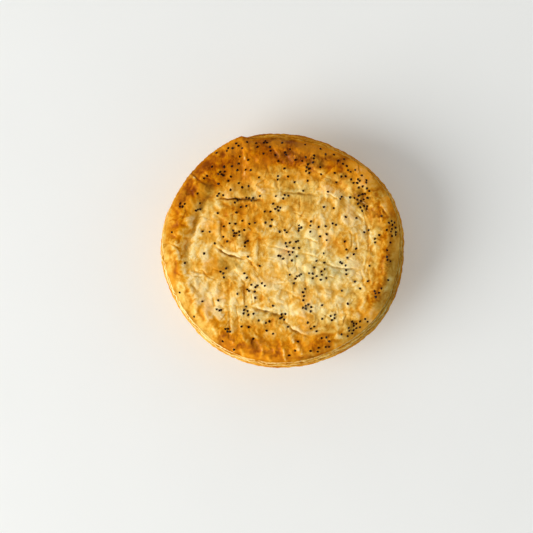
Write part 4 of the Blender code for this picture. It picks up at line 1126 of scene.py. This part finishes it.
def baked_pastry():
    """Egg-glazed flaky pastry: pale dough to dark brown by how baked it is, with flakes, specks and gloss,
    painted highlights on crests and lips, and painted shade in grooves and away from the lamp.
    """
    make = Finish("baked pastry")
    bake, raw, groove, lip = (make.attribute(name) for name in ("bake", "raw", "groove", "lip"))
    dull, golden, gloss = make.attribute("dull"), make.attribute("golden"), make.attribute("gloss")
    broad = make.noise(2.4, 4, 0.6, stretch=(1, 0.6, 1)) - 0.5
    fine, grain = make.noise(0.8, 3, 0.6) - 0.5, make.noise(1.8, 3, 0.5)
    streak = make.noise(1.2, 3, 0.6, stretch=(1, 0.45, 1), lean=0.25) - 0.5
    patch = make.between(make.noise(7.0, 2), 0.42, 0.60)
    # Pale flecks on the glaze, partly painted glints
    flecks_and_glints = (0.3 + 0.7 * gloss) * make.between(make.noise(1.0, 2, 0.5, stretch=(1, 0.6, 1)), 0.58, 0.70)
    specks = make.between(make.noise(1.3, 2, 0.5), 0.60, 0.72)
    # Pale lips: partly fresh torn dough and pale layers, partly painted highlight on crests and lit edges
    pale = make.between(lip + 0.5 * (make.noise(1.6, 3) - 0.5), 0.25, 0.7)
    creased = (0.2 + 0.8 * gloss) * make.between(make.noise(9.0, 2), 0.42, 0.56)
    cracks = abs(make.noise(2.6, 2, 0.5, stretch=(1, 0.75, 1)) - 0.5)
    crease = creased * (1 - make.between(cracks, 0.0, 0.035))
    tone = bake + 0.06 * broad + 0.04 * fine + 0.05 * streak - (0.06 + 0.08 * patch) * flecks_and_glints + 0.06 * specks
    # Painted light: lips and the grain's crests paler, as highlight, crease lines browner, as shade
    tone = tone - 0.26 * pale + 0.10 * crease - 0.20 * (grain - 0.5)
    colour = make.ramp(tone, BAKED_TONES)
    colour = make.mix(0.75 * raw, colour, make.ramp(tone, RAW_TONES))
    colour = make.mix((0.8 - 0.4 * gloss) * pale, colour, PALE_LIP_AND_HIGHLIGHT)
    # Bright orange crust, partly painted light on slopes turned away from the lamp
    colour = make.mix(golden, colour, BRIGHT_CRUST_AND_LIGHT)
    # Painted shade, multiplied in
    colour = make.mix(dull, colour, SHADE_TINT, "MULTIPLY")
    # Painted shade in grooves and in the gaps between layers
    colour = make.mix(0.85 * make.between(groove, 0.15, 1.15), colour, GROOVE_SHADE)
    height = 0.8 * grain + 0.25 * make.noise(0.5, 2, 0.5) - 0.4 * crease
    glaze = make.between(tone, 0.3, 0.75)
    glint = make.between(make.noise(3.2, 3, 0.5), 0.52, 0.70)
    make.set(
        Base_Color=colour,
        Roughness=0.46 - 0.10 * glaze + 0.2 * (make.noise(1.1, 3) - 0.5),
        Coat_Weight=gloss * (0.02 + 0.02 * glaze + 0.10 * glint),
        Coat_Roughness=0.18,
        Subsurface_Weight=0.04,
        Subsurface_Radius=(1.0, 0.45, 0.15),
        Subsurface_Scale=0.8 * MM,
        Specular_IOR_Level=0.02,
        Normal=make.bump(height, 0.11),
    )
    return make.material


def seed_coat():
    """Poppy seed: almost black to dark brown, with a fine net of ridges."""
    make = Finish("poppy seed")
    tone = make.attribute("tone")
    net = make.from_cell_edges(0.16)
    dark = make.mix(make.between(tone, 0.6, 1.0), SEED_DARKEST, SEED_PALEST)
    colour = make.mix(make.between(net, 0.0, 0.12), make.mix(0.3, dark, SEED_RIDGES), dark)
    make.set(
        Base_Color=colour,
        Roughness=0.5,
        Specular_IOR_Level=0.04,
        Normal=make.bump(make.between(net, 0.0, 0.2), 0.02),
    )
    return make.material


def plain_floor():
    make = Finish("plain floor")
    colour = make.mix(make.noise(60.0, 2), *FLOOR_TONES)
    make.set(Base_Color=colour, Roughness=0.75, Specular_IOR_Level=0.2)
    return make.material


# ================================================================ the scene


def outline_shift():
    """Moves the outline's box so that its middle lies over the origin, as the solid's does."""
    degrees = np.arange(ROUND_STEPS) * 360 / ROUND_STEPS
    radius = np.maximum(rim_radius(degrees), lid_radius(degrees))
    a = np.radians(degrees)
    x, y = radius * np.cos(a), radius * np.sin(a)
    return np.array((-(x.min() + x.max()) / 2, -(y.min() + y.max()) / 2))


def add_key_light():
    """One large soft lamp, low on the left, that faces the pie."""
    lamp = bpy.data.lights.new("key light", "AREA")
    lamp.shape = "DISK"
    lamp.size = KEY_SIZE
    lamp.energy = KEY_POWER
    a, rise = math.radians(KEY_ANGLE), math.radians(KEY_RISE)
    place = Vector((math.cos(rise) * math.cos(a), math.cos(rise) * math.sin(a), math.sin(rise))) * KEY_AWAY
    obj = bpy.data.objects.new("key light", lamp)
    obj.location = place
    obj.rotation_mode = "QUATERNION"
    obj.rotation_quaternion = (Vector((0, 0, 0.02)) - place).to_track_quat("-Z", "Y")
    bpy.context.scene.collection.objects.link(obj)


def add_studio():
    """A white studio all round, brighter at the horizon than overhead."""
    world = bpy.data.worlds.new("studio")
    bpy.context.scene.world = world
    world.use_nodes = True
    nodes, links = world.node_tree.nodes, world.node_tree.links
    split = nodes.new("ShaderNodeSeparateXYZ")
    fade = nodes.new("ShaderNodeMapRange")
    fade.inputs["To Min"].default_value = FILL_LOW
    fade.inputs["To Max"].default_value = FILL_HIGH
    links.new(nodes.new("ShaderNodeTexCoord").outputs["Generated"], split.inputs[0])
    links.new(split.outputs["Z"], fade.inputs["Value"])
    links.new(fade.outputs[0], nodes["Background"].inputs["Strength"])
    nodes["Background"].inputs["Color"].default_value = (1.0, 1.0, 1.0, 1)


def add_camera():
    """Straight down on the pie."""
    camera = bpy.data.cameras.new("camera")
    camera.sensor_width = 36.0
    camera.lens = camera.sensor_width * (VIEW_HEIGHT - RIM_HEIGHT - RIM_THICK / 2) / FRAME_WIDTH
    camera.clip_start = 0.01
    obj = bpy.data.objects.new("camera", camera)
    obj.location = Vector((*VIEW_ASIDE, VIEW_HEIGHT)) * MM
    bpy.context.scene.collection.objects.link(obj)
    bpy.context.scene.camera = obj
    bpy.context.scene.view_settings.view_transform = "Standard"


def main():
    shift = outline_shift()
    crust = baked_pastry()
    lid = make_lid(crust, shift)
    surface = BVHTree.FromObject(lid, bpy.context.evaluated_depsgraph_get())
    layers, case = make_layers(crust, shift), make_case(crust, shift)
    for made in (lid, layers, case, make_seeds(seed_coat(), surface, shift)):
        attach(made, "root")
        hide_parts("pie")
    corners = [(-FLOOR_REACH, -FLOOR_REACH, 0), (FLOOR_REACH, -FLOOR_REACH, 0)]
    corners += [(FLOOR_REACH, FLOOR_REACH, 0), (-FLOOR_REACH, FLOOR_REACH, 0)]
    floor = piece("floor", corners, [(0, 1, 2, 3)], plain_floor())
    add_key_light()
    add_studio()
    add_camera()


main()
